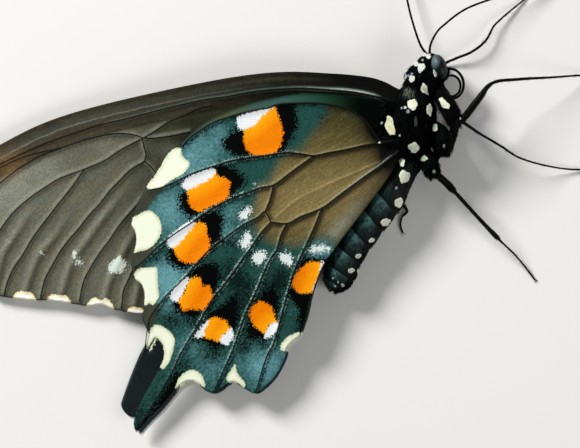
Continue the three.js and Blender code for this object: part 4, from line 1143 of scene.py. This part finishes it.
def wing_sheet(name, wing, step, side, fields, materials, slot, ridges):
    """A wing's sheet. side is +1 where the underside faces up and -1 where it faces down. The sheet rises a
    little along veins and folds, by ridges = (vein height, fold height, width) in bell shapes."""
    flat, cells, edge = wing.trimmed_grid(step)
    vein_height, fold_height, width = ridges
    relief = vein_height * closeness(flat, wing.veins, width)
    relief = relief + fold_height * closeness(flat, wing.folds, width, FOLD_FADE)
    middle = wing.rise(flat) + side * relief * np.clip(edge / 0.5, 0, 1)
    upper = wing.placed(np.column_stack([flat, middle + MEMBRANE / 2]))
    lower = wing.placed(np.column_stack([flat, middle - MEMBRANE / 2]))
    top, bottom, rim = two_faced(cells, len(flat))
    underside, upside = (0, 1) if side > 0 else (1, 0)
    marks = [np.full(len(top), underside), np.full(len(bottom), upside), np.zeros(len(rim))]
    values = {key: np.tile(numbers, 2) for key, numbers in fields(wing, flat).items()}
    values["edge"] = np.tile(edge, 2)
    points = np.vstack([upper, lower])
    piece(name + "_sheet", points, [top, bottom, rim], materials, slot, (name,), marks, values)


def wing_veins(name, wing, material, slot, widths, side, lift):
    """A wing's veins: tubes half sunk in the sheet's underside, that narrow from the root to the edge."""
    tubes = []
    for path in wing.veins:
        away = np.hypot(*(path - WING_ROOT).T)
        radius = np.interp(away, (2.0, 30.0), np.array(widths) / 2)
        height = wing.rise(path) + side * (lift + MEMBRANE / 2)
        line = wing.placed(np.column_stack([path, height]))
        tubes.append(swept(line, radius, sides=8))
    points, faces = joined(*tubes)
    piece(name + "_veins", points, faces, [material], slot)


def wing_fringe(name, wing, material, slot, span, random, cream):
    """The fringe along the outer edge: short scales side by side, pale where they grow from a pale spot."""
    outline = wing.outlines[0]
    travelled = np.concatenate([[0], np.cumsum(np.hypot(*np.diff(outline, axis=0).T))])
    stops = np.arange(span[0] * travelled[-1], span[1] * travelled[-1], 0.06)
    stops = stops + random.uniform(-0.02, 0.02, len(stops))
    middle, ahead = (
        np.stack([np.interp(stops + step, travelled, column) for column in outline.T], -1)
        for step in (0, 0.05)
    )
    outward = unit(ahead - middle)[:, ::-1] * (1, -1)
    outward[is_inside(middle + outward * 0.1, outline)] *= -1
    length = random.uniform(0.1, 0.18, len(stops))
    centre = middle + outward * (length[:, None] * 0.15)
    height = wing.rise(centre) + random.uniform(-0.02, 0.02, len(stops))
    along = np.column_stack([outward + random.normal(0, 0.12, outward.shape), np.zeros(len(stops))])
    up = np.tile((0.0, 0.0, 1.0), (len(stops), 1))
    width = random.uniform(0.05, 0.09, len(stops))
    centre = wing.placed(np.column_stack([centre, height]))
    points, faces = flakes(centre, along, up, length, width, 0.025)
    pale = depth_in(middle, loops_of(cream)) > 0
    tint = np.where(pale[:, None], tint_of(240, 240, 218), tint_of(24, 28, 30))
    tint = np.repeat(tint * random.uniform(0.8, 1.1, (len(stops), 1)), FLAKE_POINTS, 0)
    piece(name + "_fringe", points, faces, [material], slot, values={"tint": tint})


def hindwing_fields(wing, points):
    """What is painted where on a hindwing, a number for every point of its grid."""
    shapes = {
        "orange": ORANGE_SPOTS, "white": WHITE_CAPS, "cream": CREAM_SPOTS, "black": BLACK_PATCHES,
        "disc": TAN_DISC, "border": GREY_BORDER, "costal": COSTAL_BAND,
    }
    clouds = {"dust": WHITE_DUST, "pale": PALE_BLUE, "deep": DEEP_GREEN, "root": ROOT_SHADE}
    fields = {key: depth_in(points, loops_of(loops)) for key, loops in shapes.items()}
    fields |= {key: patches(points, spots) for key, spots in clouds.items()}
    # Painted light beside the veins: bands of shade on the side away from the light, and a thin highlight on
    # the side towards it. far_light is a fainter pale line on the other side.
    fields["shadow"] = closeness(points - ACROSS_VEINS * 0.27, wing.veins, 0.26)
    fields["light"] = closeness(points + ACROSS_VEINS * 0.17, wing.veins[1:], 0.09)
    fields["far_light"] = closeness(points - ACROSS_VEINS * 0.2, wing.veins[1:], 0.08)
    fields["gleam"] = closeness(points + ACROSS_VEINS * 0.13, [wing.veins[GLOSSY_VEIN]], 0.05)
    fields["fold"] = closeness(points, wing.folds, 0.09)
    fields["dusk"] = closeness(points - ACROSS_VEINS * 0.75, wing.veins, 0.8)
    fields["strip"] = closeness(points, [curve_through(INNER_STRIP)], 0.9)
    return fields


def forewing_fields(wing, points):
    """What is painted where on a forewing."""
    # Painted light: shade on the side of each vein and fold away from the light, and highlight on the side
    # towards it.
    beside, facing = points - ACROSS_VEINS * 0.24, points + ACROSS_VEINS * 0.22
    fold_shade = closeness(points - ACROSS_VEINS * 0.35, wing.folds, 0.36, FOLD_FADE)
    fold_highlight = closeness(points + ACROSS_VEINS * 0.3, wing.folds, 0.32, FOLD_FADE)
    return {
        "cream": depth_in(points, loops_of(FOREWING_CREAM)),
        "leading": nearest_on(points, cornered(FOREWING_EDGE[:1])[:-1])[1],
        "pale_line": closeness(points, [curve_through(path, 5) for path in PALE_LINE], 0.13),
        "dust": patches(points, FOREWING_DUST),
        "pale": patches(points, FOREWING_PALE),
        "rust": patches(points, FOREWING_RUST),
        "shadow": np.maximum(closeness(beside, wing.veins, 0.22), fold_shade),
        "light": np.maximum(closeness(facing, wing.veins, 0.2), fold_highlight),
    }


def wings_in_place():
    """The four wings, each at its height: at the root, far from it, and the bell curve's reach and power."""
    hindwing = (HINDWING_EDGE, HINDWING_VEINS, HINDWING_FOLD)
    forewing = (FOREWING_EDGE, FOREWING_VEINS, FOREWING_FOLDS)
    return {
        "right_hindwing": Wing(*hindwing, 4.5, 1.5, 28, 3),
        "right_forewing": Wing(*forewing, 4.0, 0.75, 26, 2),
        "left_forewing": Wing(*forewing, 1.75, 0.13, 32, 2),
        "left_hindwing": Wing(*hindwing, 1.2, 0.12, 4.5, 2, 0.01, LEFT_TAIL_EDGE),
    }


def build_wings(wings, random, fringe_finish):
    veins = vein_horn()
    kinds = {
        "hindwing": {
            "fields": hindwing_fields,
            "finishes": [hindwing_underside(), upperside("hindwing_upperside", 0.9)],
            "slot": "hindwing_scales", "ridges": (0.14, 0.07, 0.36), "step": 0.12, "veins": (0.18, 0.09),
            "fringe": (0.2, 0.68), "pale": CREAM_SPOTS,
        },
        "forewing": {
            "fields": forewing_fields,
            "finishes": [forewing_underside(), upperside("forewing_upperside", 0.25)],
            "slot": "forewing_scales", "ridges": (0.14, 0.15, 0.4), "step": 0.14, "veins": (0.2, 0.1),
            "fringe": (0.4, 0.68), "pale": FOREWING_CREAM,
        },
    }
    for name, wing in wings.items():
        body_side, kind = name.split("_")
        made = kinds[kind]
        side, step = (1, made["step"]) if body_side == "right" else (-1, 0.2)
        wing_sheet(name, wing, step, side, made["fields"], made["finishes"], made["slot"], made["ridges"])
        wing_veins(name, wing, veins, made["slot"], made["veins"], side, made["ridges"][0])
        wing_fringe(name, wing, fringe_finish, made["slot"], made["fringe"], random, made["pale"])


# Body


def abdomen_axis(per_span=20):
    """The abdomen's middle line and radius, the line at x, y, z and the radius in the last column."""
    return curve_through(ABDOMEN_STATIONS, per_span)


def ring_radius(axis, angle):
    """The abdomen's radius, a row a place on its line and a column an angle. Each ring widens backwards and
    ends in a low step over the next one, and the steps slant: angle 0 meets each of them 0.44 rings before
    the far side does. Also how many rings lie before each of these points."""
    along = np.linspace(0, ABDOMEN_RINGS, len(axis))[:, None] + RING_SLANT * np.cos(angle)
    share = along % 1.0
    profile = 0.95 + 0.05 * np.sin(share * np.pi * 0.85) ** 0.7 - 0.06 * np.clip((share - 0.9) / 0.1, 0, 1)
    return axis[:, 3:] * profile, along


def body_height(x, y, side=1):
    """Height of the body's upper skin at x, y, or with side -1 of the lower one: the highest of the eggs,
    the abdomen, the lobes, the thighs and the wing's base."""
    height = np.full(len(x), -np.inf)
    for shape in (TRUNK, COLLAR, HEAD):
        half = np.array(shape["half"]) - FUR_DEPTH
        place = np.array(shape["place"])
        local = turned(np.stack([x, y, 0 * x], -1) - (place[0], place[1], 0), -shape["lean"]) / half
        rest = 1 - (local[:, :2] ** 2).sum(1)
        level = side * (place[2] - BODY_MIDDLE) + half[2] * np.sqrt(np.maximum(rest, 0))
        height = np.maximum(height, np.where(rest > 0, level, -np.inf))
    legs = [name for name in LEG_STATIONS if name.startswith("right" if side > 0 else "left")]
    lobes = [curve_through(HIP_STATIONS[name], 10) for name in legs]
    thighs = [curve_through(LEG_STATIONS[name][: LEG_KNEES[name]], 10) for name in legs]
    axis = np.vstack([abdomen_axis(), *lobes, *thighs])
    gap = np.hypot(x[:, None] - axis[:, 0], y[:, None] - axis[:, 1])
    rest = axis[:, 3] ** 2 - gap**2
    level = side * (axis[:, 2] - BODY_MIDDLE) + np.sqrt(np.maximum(rest, 0))
    level = np.where(rest > 0, level, -np.inf).max(1)
    on_wing = (x < WING_ROOT[0]) & (np.abs(y) < WING_BASE_REACH)
    height = np.maximum(height, np.maximum(level, np.where(on_wing, WING_BASE - BODY_MIDDLE, -np.inf)))
    return BODY_MIDDLE + side * height


def body_normal(x, y, side=1):
    """The skin's outward direction at x, y, from its slopes across 0.2 mm."""
    step = 0.1
    slope_x = (body_height(x + step, y, side) - body_height(x - step, y, side)) / (2 * step)
    slope_y = (body_height(x, y + step, side) - body_height(x, y - step, side)) / (2 * step)
    slopes = np.nan_to_num(np.stack([-slope_x, -slope_y], -1), nan=0.0, posinf=3.0, neginf=-3.0)
    return unit(np.column_stack([slopes * side, np.full(len(x), side)]))


def spot_gap(points):
    """How far each point is in plan from the nearest white spot, less than nothing inside one."""
    spots = np.array([spot[:4] for spot in WHITE_SPOTS])
    dx = points[:, :1] - spots[:, 0]
    dy = points[:, 1:2] - spots[:, 1]
    away = np.hypot(dx / (spots[:, 2] / 2), dy / (spots[:, 3] / 2))
    return ((away - 1) * np.minimum(spots[:, 2], spots[:, 3]) / 2).min(1)


def coat(name, strands, random, finish, slot, colour=FUR_BLACK, solid=None, replaces=()):
    """One piece of dark hairs, from strands of (roots, directions, lengths), with a solid they grow on if it
    is given. Hairs whose root, middle or tip would lie over a white spot are left out."""
    roots, directions, lengths = (np.concatenate(column) for column in zip(*strands))
    clear = roots[:, 2] > 0.25
    for share in (0.0, 0.5, 0.95):
        clear &= spot_gap(roots + directions * lengths[:, None] * share) > 0.02
    roots, directions, lengths = roots[clear], directions[clear], lengths[clear]
    widths = random.uniform(*HAIR_WIDTHS, len(roots))
    points, faces = hairs(roots, directions, lengths, widths)
    ground = tint_of(*colour)
    tint = ground * random.uniform(0.4, 2.2, (len(roots), 1))
    stray = random.uniform(size=(len(roots), 1)) < 0.05
    tint = np.where(stray, tint_of(*STRAY_GREY), tint)
    x, y, wide, high = PALE_TUFT
    tuft = np.hypot((roots[:, 0] - x) / wide, (roots[:, 1] - y) / high)[:, None] < 0.5
    tufted = tint_of(*TUFT_GREY) * random.uniform(0.5, 1.3, (len(roots), 1))
    tint = np.repeat(np.where(tuft, tufted, tint), HAIR_POINTS, 0)
    if solid:
        tint = np.vstack([np.tile(ground, (len(solid[0]), 1)), tint])
        points, faces = joined(solid, (points, faces))
    piece(name, points, faces, [finish], slot, replaces, values={"tint": tint})


def egg_strands(shape, kind, random, avoid=()):
    """Hairs at even random places on an egg, each between the outward direction and the way to the tail."""
    count, lengths, lift = COATS[kind]
    half = np.array(shape["half"]) - FUR_DEPTH
    ball = unit(random.normal(size=(count, 3)))
    roots = turned(ball * half, shape["lean"]) + shape["place"]
    outward = unit(turned(ball / half, shape["lean"]))
    stream = turned(np.array([0.0, -1.0, 0.0]), shape["lean"])
    directions = unit(outward * lift + stream + random.normal(0, 0.16, (count, 3)))
    clear = np.full(count, True)
    for other in avoid:
        other_half = np.array(other["half"]) - FUR_DEPTH
        local = turned(roots - np.array(other["place"]), -other["lean"]) / other_half
        clear &= (local**2).sum(1) > 0.97
    return roots[clear], directions[clear], random.uniform(*lengths, clear.sum())


def limb_strands(line, kind, random):
    """Hairs round a limb that lean towards its end."""
    count, lengths, lift = COATS[kind]
    pick = random.integers(1, len(line) - 1, count)
    tangent = unit(np.gradient(line[:, :3], axis=0))[pick]
    outward = random.normal(size=(count, 3))
    outward = unit(outward - tangent * (outward * tangent).sum(1, keepdims=True))
    roots = line[pick, :3] + outward * line[pick, 3:] * 0.9
    return roots, unit(tangent + outward * lift), random.uniform(*lengths, count)


def wing_base_strands(wing, side, count, random):
    """Hairs that lie flat on a wing beside the thorax, in an oval round its root, and stream outwards."""
    angle = random.uniform(0, 2 * np.pi, count)
    reach = np.sqrt(random.uniform(0, 1, count))
    circle = np.column_stack([np.cos(angle), np.sin(angle)])
    flat = WING_BASE_OVAL["place"] + WING_BASE_OVAL["half"] * reach[:, None] * circle
    roots = np.column_stack([flat, wing.rise(flat) + side * random.uniform(0, 0.12, count)])
    directions = np.array([-0.9, -0.45, side * 0.12]) + random.normal(0, 0.2, (count, 3))
    return roots, unit(directions), random.uniform(*WING_BASE_OVAL["lengths"], count)


def white_spots(random, finish):
    """The white spots of head, thorax and abdomen: raised scales that overlap like tiles, on both sides."""
    parts, tints = [], []
    for x, y, wide, high, lean, red, green, blue in WHITE_SPOTS:
        count = int(SPOT_SCALES * wide * high + FEWEST_SCALES)
        raised = SPOT_ON_FUR if y > ABDOMEN_STATIONS[0][1] else SPOT_ON_SKIN
        angle = random.uniform(0, 2 * np.pi, count)
        reach = np.sqrt(random.uniform(0, 1, count))
        ragged = 1 + 0.1 * np.sin(3 * angle + 7 * x) + 0.08 * np.sin(5 * angle + 5 * y)
        offset = np.stack([np.cos(angle) * wide, np.sin(angle) * high, 0 * angle], -1)
        offset = turned(offset * (reach * ragged / 2)[:, None], lean)
        for side in (1, -1):
            px, py = x + offset[:, 0], y + offset[:, 1]
            height = body_height(px, py, side)
            known = np.isfinite(height)
            px, py = px[known], py[known]
            normal = unit(body_normal(px, py, side) + (0.0, 0.0, 2.5 * side))
            lift = random.uniform(raised, raised + 0.015, (len(px), 1))
            centre = np.column_stack([px, py, height[known]]) + normal * lift
            flow = np.array([-0.25, -1.0, 0.0]) + random.normal(0, 0.18, (len(px), 3))
            along = unit(flow - normal * (flow * normal).sum(1, keepdims=True) + normal * 0.06)
            length = random.uniform(0.12, 0.2, len(px))
            width = random.uniform(0.07, 0.1, len(px))
            parts.append(flakes(centre, along, normal, length, width, 0.02))
            tint = tint_of(red, green, blue) * random.uniform(0.94, 1.06, (len(px), 1))
            tints.append(np.repeat(tint, FLAKE_POINTS, 0))
    points, faces = joined(*parts)
    piece("white_spots", points, faces, [finish], "body_fur", values={"tint": np.vstack(tints)})


def build_body(wings, random, fur_finish, spot_finish, horn_finish):
    """Skins with their fur, the abdomen, the white spots, the eyes, the legs and what the head carries."""
    shell = skin()
    trunk, collar, head = (egg(shape, FUR_DEPTH, SKIN_LUMPS) for shape in (TRUNK, COLLAR, HEAD))
    piece("thorax_skin", *joined(trunk, collar), [shell], "body_fur", ("thorax",))
    piece("head_skin", *head, [shell], "body_fur", ("head",))
    strands = [
        egg_strands(TRUNK, "trunk", random, [HEAD]),
        egg_strands(COLLAR, "collar", random, [HEAD]),
        wing_base_strands(wings["right_hindwing"], 1, 1500, random),
        wing_base_strands(wings["left_hindwing"], -1, 700, random),
    ]
    coat("thorax_fur", strands, random, fur_finish, "body_fur")
    eyes = {name: EYE_SHAPE | {"place": place} for name, place in EYE_PLACES.items()}
    strands = [egg_strands(HEAD, "head", random, [*eyes.values(), COLLAR])]
    coat("head_fur", strands, random, fur_finish, "body_fur")
    build_abdomen(random, fur_finish)
    white_spots(random, spot_finish)
    lens = eye_lens()
    for name, shape in eyes.items():
        points, faces = egg(shape)
        side = 1 if name.startswith("right") else -1
        # The eye's highlight is painted on the side that faces the key light, up and to the upper left.
        toward = unit(points - np.array(shape["place"])) @ unit(np.array([-0.6, 0.45, side * 0.66]))
        piece(name + "_lens", points, faces, [lens], "eye", (name,), values={"eye_highlight": toward})
    build_legs(random, fur_finish, horn_finish, shell)
    build_head_parts(random, fur_finish, horn_finish)


def build_abdomen(random, fur_finish):
    """The ringed abdomen, with short hairs that lie along it and are thickest below."""
    axis = abdomen_axis(24)
    sides = 64
    angle = around(sides)
    radius, along = ring_radius(axis, angle)
    points, faces = swept(axis[:, :3], radius, sides)
    back = np.tile(np.cos(angle), len(axis))
    values = {"back": np.append(back, [0, 0]), "ring": np.append(along.ravel(), along[[0, -1], 0])}
    piece("abdomen_rings", points, faces, [abdomen_scales()], "abdomen_scales", ("abdomen",), values=values)
    count, lengths, lift = COATS["abdomen"]
    place = random.integers(0, len(axis) * sides, count)
    roots = points[place]
    middle = axis[place // sides, :3]
    outward = unit(roots - middle)
    tangent = unit(np.gradient(axis[:, :3], axis=0))[place // sides]
    directions = unit(tangent + outward * lift + random.normal(0, 0.12, (count, 3)))
    keep = random.uniform(size=count) < 0.35 + 0.65 * (back[place] < -0.2)
    strands = [(roots[keep], directions[keep], random.uniform(*lengths, keep.sum()))]
    coat("abdomen_hair", strands, random, fur_finish, "abdomen_scales", ABDOMEN_BLACK)


def limb(stations, sides=20, joints=()):
    """A leg, lobe or feeler through stations (x, y, z, radius). Each joint, counted in stations, is a narrow
    neck."""
    line = curve_through(stations, 14)
    along = np.linspace(0, len(stations) - 1, len(line))
    radius = np.maximum(line[:, 3], 0.03)
    for joint in joints:
        radius = radius * (1 - JOINT_NECK * np.exp(-(((along - joint) / 0.12) ** 2)))
    return swept(line[:, :3], radius, sides), line


def claws(line):
    """Two small hooks at the end of a leg."""
    foot, before = line[-1, :3], line[-6, :3]
    ahead = unit(foot - before)
    across = unit(np.cross(ahead, (0.0, 0.0, 1.0)))
    pair = []
    for turn in (-1, 1):
        bend, point = ahead * 0.22 + across * turn * 0.14, ahead * 0.4 + across * turn * 0.1
        path = foot + np.array([0 * ahead, bend, point])
        claw = curve_through(path, 5)
        claw[:, 2] = np.maximum(claw[:, 2] - np.linspace(0, 0.05, len(claw)), 0.06)
        pair.append(swept(claw, np.linspace(0.045, 0.008, len(claw)), 8))
    return pair


def build_legs(random, fur_finish, horn_finish, shell):
    """Each leg: a furry lobe, a thigh with short hair, and beyond the knee a thin spiny shin and foot."""
    for name, stations in LEG_STATIONS.items():
        knee = LEG_KNEES[name]
        last = len(stations) - 1
        leg, line = limb(stations, joints=[2, knee, *np.linspace(knee + 2, last - 0.4, 5)])
        lobe, lobe_line = limb(HIP_STATIONS[name], sides=32)
        piece(name + "_horn", *joined(leg, *claws(line)), [horn_finish], "horn", (name,))
        piece(name + "_lobe", *lobe, [shell], "body_fur")
        bend = len(line) * knee // last
        strands = [
            limb_strands(lobe_line, "lobe", random),
            limb_strands(line[:bend], "thigh", random),
            limb_strands(line[bend:], "shin", random),
        ]
        coat(name + "_bristles", strands, random, fur_finish, "horn")


def build_head_parts(random, fur_finish, horn_finish):
    """Antennae of many short rings, feelers like brushes, and the tongue: a flat oval spiral whose reach, as
    its share s of the length grows, is inner + swing exp(-s / fall) + creep (1 - s)."""
    for name, stations in ANTENNA_STATIONS.items():
        line = curve_through(stations, 16)
        ringed = line[:, 3] * (1 - 0.09 * (np.arange(len(line)) % 4 == 0))
        points, faces = swept(line[:, :3], np.maximum(ringed, 0.03), 16)
        piece(name + "_rings", points, faces, [horn_finish], "horn", (name,))
    for name, stations in PALP_STATIONS.items():
        solid, line = limb(stations)
        strands = [limb_strands(line, "palp", random)]
        coat(name + "_brush", strands, random, fur_finish, "body_fur", solid=solid, replaces=(name,))
    share = np.linspace(0, 1, 320)
    angle = TONGUE["start"] - share * TONGUE["turns"] * 2 * np.pi
    reach = TONGUE["inner"] + TONGUE["swing"] * np.exp(-share / TONGUE["fall"])
    reach = reach + TONGUE["creep"] * (1 - share)
    oval = np.stack([TONGUE["wide"] * np.cos(angle), TONGUE["high"] * np.sin(angle)], -1)
    spiral = TONGUE["centre"] + reach[:, None] * oval
    spiral = np.vstack([np.linspace((2.0, 5.3), spiral[0], 12)[:-1], spiral])
    radius = TONGUE["radius"] * (1 - TONGUE["thinning"] * np.linspace(0, 1, len(spiral)))
    radius = radius * (1 - 0.07 * (np.arange(len(spiral)) % 3 == 0))
    line = np.column_stack([spiral, np.full(len(spiral), TONGUE["height"])])
    piece("proboscis_coil", *swept(line, radius, 16), [horn_finish], "horn", ("proboscis",))


# Surroundings


def look_at(thing, place, target):
    thing.location = [c * MM for c in place]
    direction = unit(np.array(target, float) - np.array(place, float))
    yaw = np.arctan2(-direction[0], direction[1])
    thing.rotation_euler = (np.arccos(-direction[2]), 0, yaw)


def soft_light(name, place, size, watts):
    """A round lamp that shines at the middle of the picture."""
    lamp = bpy.data.lights.new(name, "AREA")
    lamp.shape = "DISK"
    lamp.size = size * MM
    lamp.energy = watts
    thing = bpy.data.objects.new(name, lamp)
    bpy.context.scene.collection.objects.link(thing)
    look_at(thing, place, PICTURE_MIDDLE)


def surroundings():
    """The floor, the lamps, the grey room and the camera straight above."""
    bpy.ops.mesh.primitive_plane_add(size=FLOOR_METRES)
    floor = bpy.context.object
    floor.name = "floor"
    floor.data.materials.append(backdrop())
    for name, settings in LAMPS.items():
        soft_light(name, *settings)
    world = bpy.data.worlds.new("grey_room")
    world.use_nodes = True
    background = world.node_tree.nodes["Background"]
    background.inputs["Color"].default_value = daylight(200, 204, 210)
    background.inputs["Strength"].default_value = 0.3
    bpy.context.scene.world = world
    bpy.context.scene.view_settings.view_transform = "Standard"
    lens = bpy.data.cameras.new("camera")
    lens.sensor_width = SENSOR
    lens.lens = SENSOR / PICTURE_WIDTH * CAMERA_HEIGHT
    lens.clip_start = 0.01
    camera = bpy.data.objects.new("camera", lens)
    bpy.context.scene.collection.objects.link(camera)
    camera.location = [c * MM for c in (*PICTURE_MIDDLE[:2], PICTURE_MIDDLE[2] + CAMERA_HEIGHT)]
    bpy.context.scene.camera = camera


def main():
    random = np.random.default_rng(7)
    fur_finish = tinted("fur", 0.6, 0.03)
    scale_finish = tinted("loose_scales", 0.55, 0.25)
    wings = wings_in_place()
    build_wings(wings, random, scale_finish)
    build_body(wings, random, fur_finish, scale_finish, horn())
    surroundings()


main()
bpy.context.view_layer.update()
